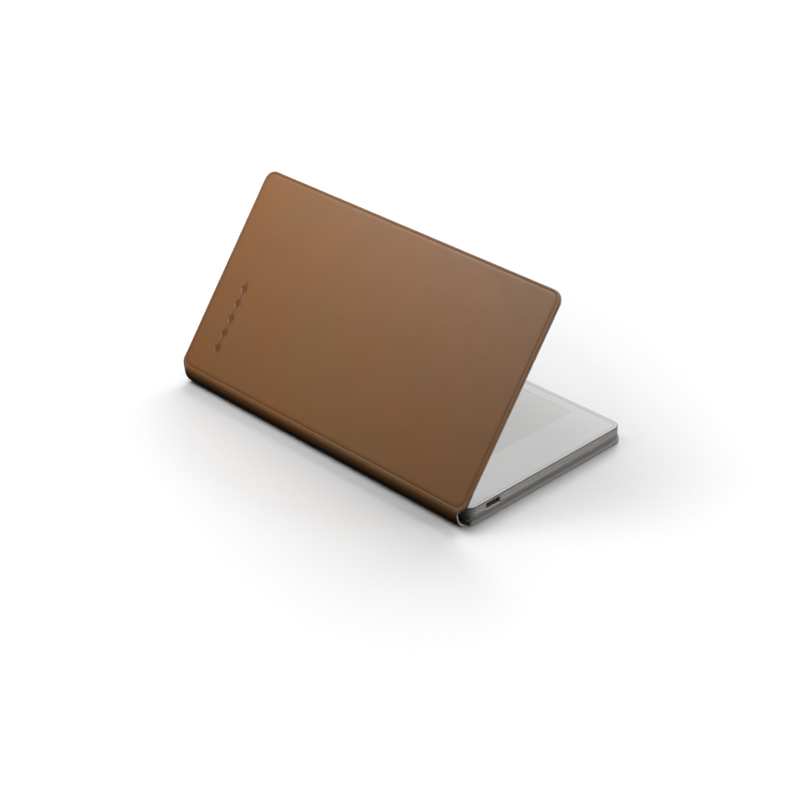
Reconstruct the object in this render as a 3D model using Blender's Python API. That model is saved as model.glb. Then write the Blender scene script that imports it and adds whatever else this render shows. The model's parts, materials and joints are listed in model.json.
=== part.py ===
"""A pocket e-paper reader in a hinged leather book folio, as separate sub-parts.

Metres, +Z up. +X points from the folio's spine to its fore-edge and Y runs along
the spine. The origin is on the table, under the centre of the reader. The folio's
front cover stands part open, leaning back over the reader.
"""

import math

import bmesh
import bpy

# Folio
PANEL_THICKNESS = 0.0022
PANEL_OVERHANG = 0.0007
PANEL_CORNER = 0.0059
LEATHER = 0.00085
BOARD = 0.00058
BOND = 0.00007
BOARD_INSET = 0.0016
FOLD_AT_REST = math.radians(27)
SPINE_CHORD = 0.0090
HINGE_OFFSET = 0.00125
PLATE_TO_HINGE = 0.0013
SPINE_LENGTH = 0.1900
SPINE_LINING = 0.0004
SPINE_END_HEIGHT = 0.00115
SPINE_BULGE = 0.0013

# Reader
READER_WIDTH = 0.1078
READER_LENGTH = 0.1956
READER_THICKNESS = 0.0065
READER_CORNER = 0.0053
REST_GAP = 0.00005
FOOT_PROUD = 0.0001
GLASS = 0.0008
JOIN = 0.00008
FRAME_BOTTOM_Z = 0.00346
FRAME_WALL = 0.0018
PLATE_LOW_Z = 0.00595
PLATE_HIGH_Z = 0.0065
GROOVE_DEPTHS = (0.00235, 0.00365)
GROOVE_RADIUS = 0.00042
GROOVE_STANDOFF = 0.0001
REAR_FLOOR = 0.0007
STACK_GAP = 0.00007
SENSOR_SHEET = 0.00026
E_PAPER = 0.00058
LIGHT_GUIDE = 0.0003
DISPLAY_INSET = 0.0054
DISPLAY_FOOT_Y = -0.0850
DISPLAY_HEAD_Y = 0.0935

# Port, button and small parts
PORT_X = -0.0380
PORT_Z = 0.00585
PORT_WIDTH = 0.0090
PORT_HEIGHT = 0.0030
PORT_DEPTH = 0.0073
SHELL_GAP = 0.0001
SHELL_WALL = 0.0002
BUTTON_X = -0.0380
BUTTON_Z = 0.00577
BUTTON_WIDTH = 0.0090
BUTTON_HEIGHT = 0.0016
BUTTON_GAP = 0.00012
BUTTON_PROUD = 0.00015
FLANGE = 0.0006
BUTTON_TRAVEL = 0.0003
BOARD_LOW_Z = 0.0036
BOARD_HIGH_Z = 0.0043
SCREW_POINTS = ((-0.038, -0.042), (0.038, -0.042), (0.038, -0.088), (-0.026, -0.088))
FOOT_POINTS = ((-0.045, -0.088), (0.045, -0.088), (-0.045, 0.088), (0.045, 0.088))
MAGNET_POINTS = ((-0.0466, -0.058), (0.0466, -0.058), (-0.0466, 0.058), (0.0466, 0.058))
MAGNET_SIZE = (0.0060, 0.0240)
COVER_MAGNET_POINTS = ((0.0400, -0.062), (0.0400, 0.062))
COVER_MAGNET_SIZE = (0.0060, 0.0120)

# Heights that follow from the above
READER_TOP_Z = PANEL_THICKNESS + REST_GAP + READER_THICKNESS
REAR_Z = PANEL_THICKNESS + REST_GAP + FOOT_PROUD
FRAME_TOP_Z = READER_TOP_Z - GLASS - JOIN
HINGE_X = -READER_WIDTH / 2 - HINGE_OFFSET
HINGE_Z = PANEL_THICKNESS / 2
HALF_PANEL_LENGTH = READER_LENGTH / 2 + PANEL_OVERHANG + 0.0001
FORE_EDGE_X = READER_WIDTH / 2 + PANEL_OVERHANG
COVER_REACH = FORE_EDGE_X - HINGE_X

CORNER_STEPS = 6
ROUND_STEPS = 20
CUT_MARGIN = 0.001

BROWN = (0.235, 0.118, 0.058)
GREYBOARD = (0.30, 0.28, 0.25)
LINING_GREY = (0.20, 0.20, 0.20)
FRAME_GREY = (0.36, 0.35, 0.34)


def clear_scene():
    for obj in list(bpy.data.objects):
        bpy.data.objects.remove(obj, do_unlink=True)


def new_collection(name, hidden=False):
    made = bpy.data.collections.new(name)
    made.hide_render = hidden
    bpy.context.scene.collection.children.link(made)
    return made


def material(name, colour, roughness, metallic=0.0):
    made = bpy.data.materials.new(name)
    made.use_nodes = True
    shader = made.node_tree.nodes["Principled BSDF"]
    shader.inputs["Base Color"].default_value = (*colour, 1.0)
    shader.inputs["Roughness"].default_value = roughness
    shader.inputs["Metallic"].default_value = metallic
    return made


def empty(name, location, turn_y=0.0):
    """A pivot; turn_y is its rotation about the world Y axis."""
    made = bpy.data.objects.new(name, None)
    made.location = location
    made.rotation_euler = (0.0, turn_y, 0.0)
    PARTS.objects.link(made)
    return made


def add_mesh(name, bm, look, parent=None):
    mesh = bpy.data.meshes.new(name)
    bm.to_mesh(mesh)
    bm.free()
    mesh.shade_smooth()
    mesh.set_sharp_from_angle(angle=math.radians(30))
    obj = bpy.data.objects.new(name, mesh)
    obj.parent = parent
    if look is None:
        obj.hide_render = True
        obj.display_type = "WIRE"
        CUTTERS.objects.link(obj)
    else:
        mesh.materials.append(look)
        PARTS.objects.link(obj)
    return obj


def block(low, high):
    """A bmesh box between two corners."""
    bm = bmesh.new()
    bmesh.ops.create_cube(bm, size=1.0)
    for vert in bm.verts:
        for axis in range(3):
            middle = (low[axis] + high[axis]) / 2
            vert.co[axis] = middle + vert.co[axis] * (high[axis] - low[axis])
    return bm


def edges_along(bm, axis):
    found = []
    for edge in bm.edges:
        run = edge.verts[1].co - edge.verts[0].co
        if abs(run[axis]) > 0.999 * run.length:
            found.append(edge)
    return found


def rounded_block(low, high, radius, axis=2, steps=CORNER_STEPS):
    """A box whose four edges along one axis are rounded."""
    bm = block(low, high)
    bmesh.ops.bevel(
        bm,
        geom=edges_along(bm, axis),
        offset=radius,
        offset_type="OFFSET",
        segments=steps,
        profile=0.5,
        affect="EDGES",
    )
    return bm


def soften_rim(bm, at, width, axis=2, steps=2):
    """Rounds the rim of the face that lies at one value of an axis."""
    rim = []
    for edge in bm.edges:
        on_face = all(abs(vert.co[axis] - at) < 1e-7 for vert in edge.verts)
        if on_face and len(edge.link_faces) == 2:
            rim.append(edge)
    bmesh.ops.bevel(
        bm,
        geom=rim,
        offset=width,
        offset_type="OFFSET",
        segments=steps,
        profile=0.5,
        affect="EDGES",
        clamp_overlap=True,
    )


def plate(name, x_span, y_span, z_span, radius, look, parent=None, rims=()):
    """A flat plate with rounded corners; rims lists (z, width) edges to soften."""
    low = (x_span[0], y_span[0], z_span[0])
    high = (x_span[1], y_span[1], z_span[1])
    bm = rounded_block(low, high, radius)
    for at, width in rims:
        soften_rim(bm, at, width)
    return add_mesh(name, bm, look, parent)


def box(name, low, high, look, parent=None):
    return add_mesh(name, block(low, high), look, parent)


def cylinder(name, centre, radius, z_span, look, parent=None, steps=ROUND_STEPS):
    bm = bmesh.new()
    bmesh.ops.create_cone(
        bm,
        cap_ends=True,
        segments=steps,
        radius1=radius,
        radius2=radius,
        depth=z_span[1] - z_span[0],
    )
    middle = (z_span[0] + z_span[1]) / 2
    bmesh.ops.translate(bm, verts=bm.verts, vec=(centre[0], centre[1], middle))
    return add_mesh(name, bm, look, parent)


def combine(target, other, operation):
    step = target.modifiers.new(other.name, "BOOLEAN")
    step.operation = operation
    step.solver = "EXACT"
    step.object = other


def cut(target, *cutters):
    for cutter in cutters:
        combine(target, cutter, "DIFFERENCE")


def centred(centre, size):
    """The (low, high) span of a size about a centre."""
    return (centre - size / 2, centre + size / 2)


def extruded_outline(name, points, half_width, look, parent):
    """A flat outline in the local XY plane, given a thickness along local Z."""
    data = bpy.data.curves.new(name, "CURVE")
    data.dimensions = "2D"
    data.fill_mode = "BOTH"
    data.extrude = half_width
    spline = data.splines.new("POLY")
    spline.points.add(len(points) - 1)
    for target, (x, y) in zip(spline.points, points):
        target.co = (x, y, 0.0, 1.0)
    spline.use_cyclic_u = True
    data.materials.append(look)
    obj = bpy.data.objects.new(name, data)
    obj.parent = parent
    PARTS.objects.link(obj)
    return obj


# Folio panels


def magnet_pockets(tag, points, size, z_span, parent=None):
    pockets = []
    for number, (x, y) in enumerate(points, 1):
        low = (x - size[0] / 2 - BOND, y - size[1] / 2 - BOND, z_span[0] - CUT_MARGIN)
        high = (x + size[0] / 2 + BOND, y + size[1] / 2 + BOND, z_span[1] + CUT_MARGIN)
        pockets.append(box(f"cut_{tag}_{number}", low, high, None, parent))
    return pockets


def magnets(tag, points, size, z_span, parent=None):
    for number, (x, y) in enumerate(points, 1):
        low = (x - size[0] / 2, y - size[1] / 2, z_span[0])
        high = (x + size[0] / 2, y + size[1] / 2, z_span[1])
        box(f"{tag}_{number}", low, high, STEEL, parent)


def back_panel():
    x_span = (HINGE_X + PLATE_TO_HINGE, FORE_EDGE_X)
    y_span = (-HALF_PANEL_LENGTH, HALF_PANEL_LENGTH)
    leather = (0.0, LEATHER)
    board = (leather[1] + BOND, leather[1] + BOND + BOARD)
    lining = (board[1] + BOND, PANEL_THICKNESS)
    plate("back_cover_leather", x_span, y_span, leather, PANEL_CORNER, SKIN)
    plate("back_cover_lining", x_span, y_span, lining, PANEL_CORNER, LINING)
    stiffener = plate(
        "back_cover_board",
        (x_span[0] + BOARD_INSET, x_span[1] - BOARD_INSET),
        (y_span[0] + BOARD_INSET, y_span[1] - BOARD_INSET),
        board,
        PANEL_CORNER - BOARD_INSET,
        CARD,
    )
    cut(stiffener, *magnet_pockets("back_pocket", MAGNET_POINTS, MAGNET_SIZE, board))
    inner = (board[0] + BOND / 2, board[1] - BOND / 2)
    magnets("folio_magnet", MAGNET_POINTS, MAGNET_SIZE, inner)


def front_panel(pivot):
    """Built flat in the pivot's frame: +X to the fore-edge and +Z the outer side."""
    half = PANEL_THICKNESS / 2
    x_span = (PLATE_TO_HINGE, COVER_REACH)
    y_span = (-HALF_PANEL_LENGTH, HALF_PANEL_LENGTH)
    leather = (half - LEATHER, half)
    board = (leather[0] - BOND - BOARD, leather[0] - BOND)
    lining = (-half, board[0] - BOND)
    plate("front_cover_leather", x_span, y_span, leather, PANEL_CORNER, SKIN, pivot)
    plate("front_cover_lining", x_span, y_span, lining, PANEL_CORNER, LINING, pivot)
    stiffener = plate(
        "front_cover_board",
        (x_span[0] + BOARD_INSET, x_span[1] - BOARD_INSET),
        (y_span[0] + BOARD_INSET, y_span[1] - BOARD_INSET),
        board,
        PANEL_CORNER - BOARD_INSET,
        CARD,
        pivot,
    )
    points = [(x - HINGE_X, y) for x, y in COVER_MAGNET_POINTS]
    pockets = magnet_pockets("front_pocket", points, COVER_MAGNET_SIZE, board, pivot)
    cut(stiffener, *pockets)
    inner = (board[0] + BOND / 2, board[1] - BOND / 2)
    magnets("cover_magnet", points, COVER_MAGNET_SIZE, inner, pivot)


def spine_height(run):
    """Height of the leather's outer side over the chord between the two hinges."""
    share = run / SPINE_CHORD
    return SPINE_END_HEIGHT + SPINE_BULGE * 4 * share * (1 - share)


def spine_strip(name, top, thickness, look, pivot):
    """A strip that follows the spine's bulge, its upper side `top` below the outside."""
    steps = 10
    runs = []
    for step in range(steps + 1):
        free = SPINE_CHORD - 2 * PLATE_TO_HINGE
        runs.append(PLATE_TO_HINGE + free * step / steps)
    outer = [(run, spine_height(run) - top) for run in runs]
    inner = [(run, spine_height(run) - top - thickness) for run in reversed(runs)]
    strip = extruded_outline(name, outer + inner, SPINE_LENGTH / 2, look, pivot)
    strip.rotation_euler = (math.radians(90), 0.0, 0.0)


def spine(pivot):
    """Built in the pivot's frame: +X along the chord and +Z outwards."""
    spine_strip("spine_leather", 0.0, LEATHER, SKIN, pivot)
    spine_strip("spine_lining", LEATHER + BOND, SPINE_LINING, LINING, pivot)


# Reader housing


def reader_span(inset=0.0):
    half_x = READER_WIDTH / 2 - inset
    half_y = READER_LENGTH / 2 - inset
    return (-half_x, half_x), (-half_y, half_y)


def groove_ring(name, z):
    """A ring that follows the reader's outline, to cut a groove into its side."""
    x_span, y_span = reader_span(-GROOVE_STANDOFF)
    radius = READER_CORNER + GROOVE_STANDOFF
    data = bpy.data.curves.new(name, "CURVE")
    data.dimensions = "3D"
    data.bevel_depth = GROOVE_RADIUS
    data.bevel_resolution = 1
    data.resolution_u = 1
    outline = []
    corners = ((1, 1, 0), (0, 1, 90), (0, 0, 180), (1, 0, 270))
    for right, up, start in corners:
        centre_x = x_span[right] + (radius if right == 0 else -radius)
        centre_y = y_span[up] + (radius if up == 0 else -radius)
        for step in range(CORNER_STEPS + 1):
            turn = math.radians(start + 90 * step / CORNER_STEPS)
            x = centre_x + radius * math.cos(turn)
            y = centre_y + radius * math.sin(turn)
            outline.append((x, y, z, 1.0))
    spline = data.splines.new("POLY")
    spline.points.add(len(outline) - 1)
    for target, co in zip(spline.points, outline):
        target.co = co
    spline.use_cyclic_u = True
    curve = bpy.data.objects.new(name, data)
    bpy.context.scene.collection.objects.link(curve)
    bpy.context.view_layer.update()
    graph = bpy.context.evaluated_depsgraph_get()
    mesh = bpy.data.meshes.new_from_object(curve.evaluated_get(graph))
    matrix = curve.matrix_world.copy()
    bpy.data.objects.remove(curve, do_unlink=True)
    bm = bmesh.new()
    bm.from_mesh(mesh)
    bpy.data.meshes.remove(mesh)
    bmesh.ops.remove_doubles(bm, verts=bm.verts, dist=1e-6)
    bmesh.ops.recalc_face_normals(bm, faces=bm.faces)
    ring = add_mesh(name, bm, None)
    ring.matrix_world = matrix
    return ring


def slot_cutter(name, centre_x, centre_z, width, height, y_span):
    """A pill-shaped bar along Y."""
    x_low, x_high = centred(centre_x, width)
    z_low, z_high = centred(centre_z, height)
    low = (x_low, y_span[0], z_low)
    high = (x_high, y_span[1], z_high)
    bm = rounded_block(low, high, 0.499 * height, axis=1)
    return add_mesh(name, bm, None)


def mid_frame():
    x_span, y_span = reader_span()
    inner_x, inner_y = reader_span(FRAME_WALL)
    radius = READER_CORNER - FRAME_WALL
    z_span = (FRAME_BOTTOM_Z, FRAME_TOP_Z)
    frame = plate("mid_frame", x_span, y_span, z_span, READER_CORNER, ALLOY, READER)
    upper = (PLATE_HIGH_Z, FRAME_TOP_Z + CUT_MARGIN)
    lower = (FRAME_BOTTOM_Z - CUT_MARGIN, PLATE_LOW_Z)
    cut(frame, plate("cut_display_bay", inner_x, inner_y, upper, radius, None))
    cut(frame, plate("cut_rear_bay", inner_x, inner_y, lower, radius, None))
    for number, depth in enumerate(GROOVE_DEPTHS, 1):
        cut(frame, groove_ring(f"cut_groove_{number}", READER_TOP_Z - depth))
    port_span = (-READER_LENGTH / 2 - CUT_MARGIN, -READER_LENGTH / 2 + PORT_DEPTH)
    cut(frame, slot_cutter("cut_port", PORT_X, PORT_Z, PORT_WIDTH, PORT_HEIGHT, port_span))
    button_span = (READER_LENGTH / 2 - FRAME_WALL - CUT_MARGIN, READER_LENGTH / 2 + CUT_MARGIN)
    button_size = (BUTTON_WIDTH + 2 * BUTTON_GAP, BUTTON_HEIGHT + 2 * BUTTON_GAP)
    cut(frame, slot_cutter("cut_button", BUTTON_X, BUTTON_Z, *button_size, button_span))
    plate_cut = (PLATE_LOW_Z - CUT_MARGIN / 2, PLATE_HIGH_Z + CUT_MARGIN / 2)
    cut(
        frame,
        box(
            "cut_switch_bay",
            (BUTTON_X - 0.0070, 0.0910, plate_cut[0]),
            (BUTTON_X + 0.0070, inner_y[1] - 0.00005, plate_cut[1]),
            None,
        ),
        box(
            "cut_cable_slot",
            (-0.0135, -0.0906, plate_cut[0]),
            (0.0135, -0.0870, plate_cut[1]),
            None,
        ),
    )
    for number, point in enumerate(SCREW_POINTS, 1):
        boss_span = (BOARD_HIGH_Z + JOIN, PLATE_LOW_Z + 0.0003)
        boss = cylinder(f"boss_{number}", point, 0.0014, boss_span, None)
        combine(frame, boss, "UNION")
        hole_span = (BOARD_HIGH_Z - CUT_MARGIN, 0.0062)
        cut(frame, cylinder(f"cut_boss_{number}", point, 0.0006, hole_span, None))


def rear_cover():
    x_span, y_span = reader_span()
    inner_x, inner_y = reader_span(FRAME_WALL)
    z_span = (REAR_Z, FRAME_BOTTOM_Z - JOIN)
    cover = plate(
        "rear_cover", x_span, y_span, z_span, READER_CORNER, SHELL, READER, [(REAR_Z, 0.0006)]
    )
    tray = (REAR_Z + REAR_FLOOR, FRAME_BOTTOM_Z + CUT_MARGIN)
    cut(cover, plate("cut_tray", inner_x, inner_y, tray, READER_CORNER - FRAME_WALL, None))
    for number, point in enumerate(FOOT_POINTS, 1):
        pocket = (REAR_Z - CUT_MARGIN, REAR_Z + 0.00035)
        cut(cover, cylinder(f"cut_foot_{number}", point, 0.0036, pocket, None))
        foot = (PANEL_THICKNESS + REST_GAP, REAR_Z + 0.00027)
        cylinder(f"foot_{number}", point, 0.0034, foot, RUBBER, READER)


# Display


def display_stack():
    half_x = READER_WIDTH / 2 - DISPLAY_INSET
    y_span = (DISPLAY_FOOT_Y, DISPLAY_HEAD_Y)
    x_span, glass_y = reader_span()
    glass = (READER_TOP_Z - GLASS, READER_TOP_Z)
    rim = [(READER_TOP_Z, 0.0002)]
    plate("cover_glass", x_span, glass_y, glass, READER_CORNER, GLAZING, READER, rim)
    bottom = PLATE_HIGH_Z + STACK_GAP
    layers = (
        ("pen_sensor_sheet", SENSOR_SHEET, COPPER_FILM),
        ("e_paper_panel", E_PAPER, E_PAPER_LOOK),
        ("front_light_guide", LIGHT_GUIDE, ACRYLIC),
    )
    for name, thickness, look in layers:
        span = (bottom, bottom + thickness)
        plate(name, (-half_x, half_x), y_span, span, 0.001, look, READER)
        bottom += thickness + STACK_GAP
    strip_z = (span[0], span[1])
    low = (-half_x + 0.002, DISPLAY_FOOT_Y - 0.0014, strip_z[0])
    high = (half_x - 0.002, DISPLAY_FOOT_Y - 0.0002, strip_z[1])
    box("front_light_strip", low, high, FLEX, READER)


# Electronics


def battery():
    rims = [(0.0033, 0.0004), (0.0057, 0.0004)]
    span = (0.0033, 0.0057)
    plate("battery", (-0.036, 0.036), (-0.030, 0.062), span, 0.002, FOIL, READER, rims)


def main_board():
    z_span = (BOARD_LOW_Z, BOARD_HIGH_Z)
    pcb = plate("main_board", (-0.0428, 0.0428), (-0.094, -0.036), z_span, 0.001, PCB, READER)
    for number, point in enumerate(SCREW_POINTS, 1):
        span = (BOARD_LOW_Z - CUT_MARGIN, BOARD_HIGH_Z + CUT_MARGIN)
        cut(pcb, cylinder(f"cut_board_{number}", point, 0.00075, span, None))


def shield_can(name, x_span, y_span):
    """A pressed lid, open underneath."""
    wall = 0.0002
    low_z = BOARD_HIGH_Z + JOIN
    can = plate(name, x_span, y_span, (low_z, 0.0057), 0.0008, TIN, READER)
    low = (x_span[0] + wall, y_span[0] + wall, low_z - CUT_MARGIN)
    high = (x_span[1] - wall, y_span[1] - wall, 0.0057 - wall)
    cut(can, box(f"cut_{name}", low, high, None))


def chip(name, x_span, y_span, height):
    z_low = BOARD_HIGH_Z + STACK_GAP
    low = (x_span[0], y_span[0], z_low)
    high = (x_span[1], y_span[1], z_low + height)
    box(name, low, high, EPOXY, READER)


def usb_port():
    """A receptacle shell with its contact tongue, behind the slot in the frame."""
    outer_w = PORT_WIDTH - 2 * SHELL_GAP
    outer_h = PORT_HEIGHT - 2 * SHELL_GAP
    mouth_y = -READER_LENGTH / 2 + 0.0002
    back_y = -READER_LENGTH / 2 + PORT_DEPTH - SHELL_GAP
    low = (PORT_X - outer_w / 2, mouth_y, PORT_Z - outer_h / 2)
    high = (PORT_X + outer_w / 2, back_y, PORT_Z + outer_h / 2)
    shell = add_mesh("usb_shell", rounded_block(low, high, 0.499 * outer_h, 1), CHROME, READER)
    hollow_w = outer_w - 2 * SHELL_WALL
    hollow_h = outer_h - 2 * SHELL_WALL
    hollow_y = (mouth_y - CUT_MARGIN, back_y - SHELL_WALL)
    cut(shell, slot_cutter("cut_usb", PORT_X, PORT_Z, hollow_w, hollow_h, hollow_y))
    low = (PORT_X - 0.0033, mouth_y + 0.0006, PORT_Z - 0.00035)
    high = (PORT_X + 0.0033, back_y - SHELL_WALL - 0.0001, PORT_Z + 0.00035)
    box("usb_tongue", low, high, EPOXY, READER)


def power_button():
    """Cap and retaining flange; the origin is at the middle of the cap's outer face."""
    face_y = READER_LENGTH / 2 + BUTTON_PROUD
    flange_y = READER_LENGTH / 2 - FRAME_WALL - BUTTON_GAP
    pivot = empty("button_slide", (BUTTON_X, face_y, BUTTON_Z))
    depth = face_y - flange_y + FLANGE / 2
    low = (-BUTTON_WIDTH / 2, -depth, -BUTTON_HEIGHT / 2)
    high = (BUTTON_WIDTH / 2, 0.0, BUTTON_HEIGHT / 2)
    cap = rounded_block(low, high, 0.499 * BUTTON_HEIGHT, 1)
    soften_rim(cap, 0.0, 0.00012, axis=1)
    button = add_mesh("power_button", cap, ALLOY, pivot)
    wing = 0.0008
    low = (low[0] - wing, flange_y - FLANGE - face_y, low[2] - wing / 4)
    high = (high[0] + wing, flange_y - face_y, high[2] + wing / 4)
    flange = add_mesh("button_flange", block(low, high), None, pivot)
    combine(button, flange, "UNION")
    plunger_y = flange_y - FLANGE - BUTTON_TRAVEL - 0.0001
    body_y = plunger_y - 0.0004
    low = (BUTTON_X - 0.0026, body_y - 0.0020, BUTTON_Z - 0.0009)
    high = (BUTTON_X + 0.0026, body_y, BUTTON_Z + 0.0007)
    switch = box("power_switch", low, high, EPOXY, READER)
    low = (BUTTON_X - 0.0009, body_y - 0.0005, BUTTON_Z - 0.0004)
    high = (BUTTON_X + 0.0009, plunger_y, BUTTON_Z + 0.0004)
    combine(switch, box("switch_plunger", low, high, None), "UNION")


def cables():
    """Flat flexible circuits, each a bent strip extruded across its width."""
    loop = (
        (-0.0862, 0.00705),
        (-0.0889, 0.00705),
        (-0.0892, 0.00675),
        (-0.0892, 0.00480),
        (-0.0889, 0.00450),
        (-0.0840, 0.00450),
        (-0.0840, 0.00464),
        (-0.0887, 0.00464),
        (-0.08905, 0.00490),
        (-0.08905, 0.00665),
        (-0.0887, 0.00691),
        (-0.0862, 0.00691),
    )
    cable = extruded_outline("display_cable", loop, 0.012, FLEX, READER)
    # The outline's X becomes +Y and its Y becomes +Z.
    cable.rotation_euler = (math.radians(90), 0.0, math.radians(90))
    box("battery_cable", (-0.008, -0.0400, 0.0044), (0.000, -0.0303, 0.00455), FLEX, READER)
    box("wifi_antenna", (0.018, 0.084, 0.00315), (0.048, 0.092, 0.0034), FLEX, READER)


def screws():
    for number, point in enumerate(SCREW_POINTS, 1):
        head_span = (BOARD_LOW_Z - 0.00045, BOARD_LOW_Z - JOIN)
        screw = cylinder(f"board_screw_{number}", point, 0.0011, head_span, STEEL, READER)
        shank_span = (BOARD_LOW_Z - 0.0002, 0.0060)
        shank = cylinder(f"shank_{number}", point, 0.0005, shank_span, None)
        combine(screw, shank, "UNION")


def pen_magnets():
    """Two bars along the reader's fore-edge, which hold a pen to its side."""
    outer = READER_WIDTH / 2 - FRAME_WALL - 0.0001
    for number, y in enumerate((-0.022, 0.022), 1):
        low = (outer - 0.0016, y - 0.014, 0.0033)
        high = (outer, y + 0.014, 0.0056)
        box(f"pen_magnet_{number}", low, high, STEEL, READER)


def reader():
    mid_frame()
    rear_cover()
    display_stack()
    battery()
    main_board()
    shield_can("shield_can_1", (-0.020, 0.008), (-0.080, -0.050))
    shield_can("shield_can_2", (0.014, 0.032), (-0.076, -0.048))
    chip("processor", (-0.013, 0.001), (-0.072, -0.058), 0.0009)
    chip("memory", (0.018, 0.028), (-0.070, -0.056), 0.0009)
    chip("hall_sensor", (0.0389, 0.0411), (-0.0628, -0.0612), 0.0007)
    usb_port()
    cables()
    screws()
    magnets("reader_magnet", MAGNET_POINTS, MAGNET_SIZE, (0.0032, 0.0042), READER)
    pen_magnets()
    power_button()


clear_scene()
PARTS = new_collection("e_reader_with_folio")
CUTTERS = new_collection("cutters", hidden=True)
SKIN = material("leather", BROWN, 0.5)
LINING = material("lining", LINING_GREY, 0.8)
CARD = material("greyboard", GREYBOARD, 0.9)
STEEL = material("steel", (0.55, 0.55, 0.56), 0.3, 1.0)
ALLOY = material("anodised_frame", FRAME_GREY, 0.45, 0.8)
SHELL = material("rear_shell", (0.30, 0.30, 0.30), 0.6)
RUBBER = material("rubber", (0.05, 0.05, 0.05), 0.9)
GLAZING = material("frosted_glass", (0.78, 0.78, 0.77), 0.35)
ACRYLIC = material("acrylic", (0.85, 0.86, 0.86), 0.2)
E_PAPER_LOOK = material("e_paper", (0.62, 0.62, 0.60), 0.6)
COPPER_FILM = material("copper_film", (0.55, 0.33, 0.20), 0.5)
FLEX = material("flexible_circuit", (0.42, 0.22, 0.06), 0.5)
FOIL = material("battery_foil", (0.10, 0.10, 0.11), 0.4)
PCB = material("circuit_board", (0.02, 0.10, 0.05), 0.5)
TIN = material("tinned_steel", (0.62, 0.61, 0.58), 0.35, 1.0)
EPOXY = material("epoxy", (0.02, 0.02, 0.02), 0.5)
CHROME = material("port_steel", (0.60, 0.60, 0.60), 0.25, 1.0)

READER = empty("reader_slide", (0.0, 0.0, 0.0))
SPINE_TURN = -math.radians(90) - FOLD_AT_REST
COVER_HINGE_X = HINGE_X - SPINE_CHORD * math.sin(FOLD_AT_REST)
COVER_HINGE_Z = HINGE_Z + SPINE_CHORD * math.cos(FOLD_AT_REST)
SPINE_PIVOT = empty("spine_pivot", (HINGE_X, 0.0, HINGE_Z), SPINE_TURN)
COVER_PIVOT = empty("cover_pivot", (COVER_HINGE_X, 0.0, COVER_HINGE_Z), -2 * FOLD_AT_REST)

back_panel()
spine(SPINE_PIVOT)
front_panel(COVER_PIVOT)
reader()
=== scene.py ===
"""Looks for the pocket e-paper reader in its leather book folio.

Everything is in metres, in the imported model's frame: +X from the folio's spine to its
fore-edge, +Y along the spine, +Z up off the table.
"""
import json
import math

import bmesh
import bpy
from mathutils import Matrix, Vector, noise


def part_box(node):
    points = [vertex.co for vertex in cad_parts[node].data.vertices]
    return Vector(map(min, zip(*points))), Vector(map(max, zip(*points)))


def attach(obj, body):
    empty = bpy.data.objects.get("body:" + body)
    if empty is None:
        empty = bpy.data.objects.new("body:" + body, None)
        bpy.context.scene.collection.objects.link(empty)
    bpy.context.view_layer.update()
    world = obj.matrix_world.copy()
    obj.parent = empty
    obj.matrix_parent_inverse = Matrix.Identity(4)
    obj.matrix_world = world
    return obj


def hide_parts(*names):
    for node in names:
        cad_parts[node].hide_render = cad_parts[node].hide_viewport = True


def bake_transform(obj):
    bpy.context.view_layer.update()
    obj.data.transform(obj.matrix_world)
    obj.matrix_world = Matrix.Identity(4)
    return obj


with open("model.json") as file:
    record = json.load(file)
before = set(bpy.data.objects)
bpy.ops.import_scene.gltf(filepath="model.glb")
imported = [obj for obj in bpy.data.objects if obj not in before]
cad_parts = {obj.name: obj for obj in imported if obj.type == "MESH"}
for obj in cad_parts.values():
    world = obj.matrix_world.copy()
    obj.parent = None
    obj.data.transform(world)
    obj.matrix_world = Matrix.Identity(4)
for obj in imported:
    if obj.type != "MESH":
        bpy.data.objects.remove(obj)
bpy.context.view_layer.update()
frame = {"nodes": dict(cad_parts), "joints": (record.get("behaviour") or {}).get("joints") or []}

MM = 0.001

# Places read from the frame
READER_LOW, READER_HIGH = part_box("cover_glass")
FRAME_LOW, FRAME_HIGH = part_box("mid_frame")
REAR_LOW, REAR_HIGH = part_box("rear_cover")
PANEL_LOW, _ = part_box("back_cover_leather")
_, PANEL_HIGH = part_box("back_cover_lining")
PORT_LOW, PORT_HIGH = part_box("usb_shell")
TONGUE_LOW, TONGUE_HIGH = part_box("usb_tongue")
BUTTON_LOW, BUTTON_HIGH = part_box("power_button")
JOINTS = {joint["name"]: joint for joint in frame["joints"]}
LOWER_HINGE = Vector(JOINTS["spine_hinge"]["pos_m"])
UPPER_HINGE = Vector(JOINTS["cover_hinge"]["pos_m"])

# Folio
PANEL_THICKNESS = PANEL_HIGH.z - PANEL_LOW.z
HALF_LENGTH = PANEL_HIGH.y
FORE_EDGE = PANEL_HIGH.x - LOWER_HINGE.x
CORNER = 5.9 * MM
SPINE_OVERLAP = 0.7 * MM
WEB_HALF = 95.5 * MM
WEB_JOIN = math.radians(45.0)
WEB_EASE_COLUMNS = 8
CREASE_SPINE = 2.4 * MM
CREASE_EDGE = 1.25 * MM
CREASE_DEPTH = 0.18 * MM
LEATHER = 0.85 * MM
LINING_START = 1.57 * MM
WEB_LEATHER = 0.42 * MM
WEB_TOTAL = 0.90 * MM
SEAM = 0.02 * MM
COVER_RIM = 1.35 * MM
BACK_RIM = 0.15 * MM
BACK_TUCK = 0.22 * MM
BORDER = 5.2 * MM

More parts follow.
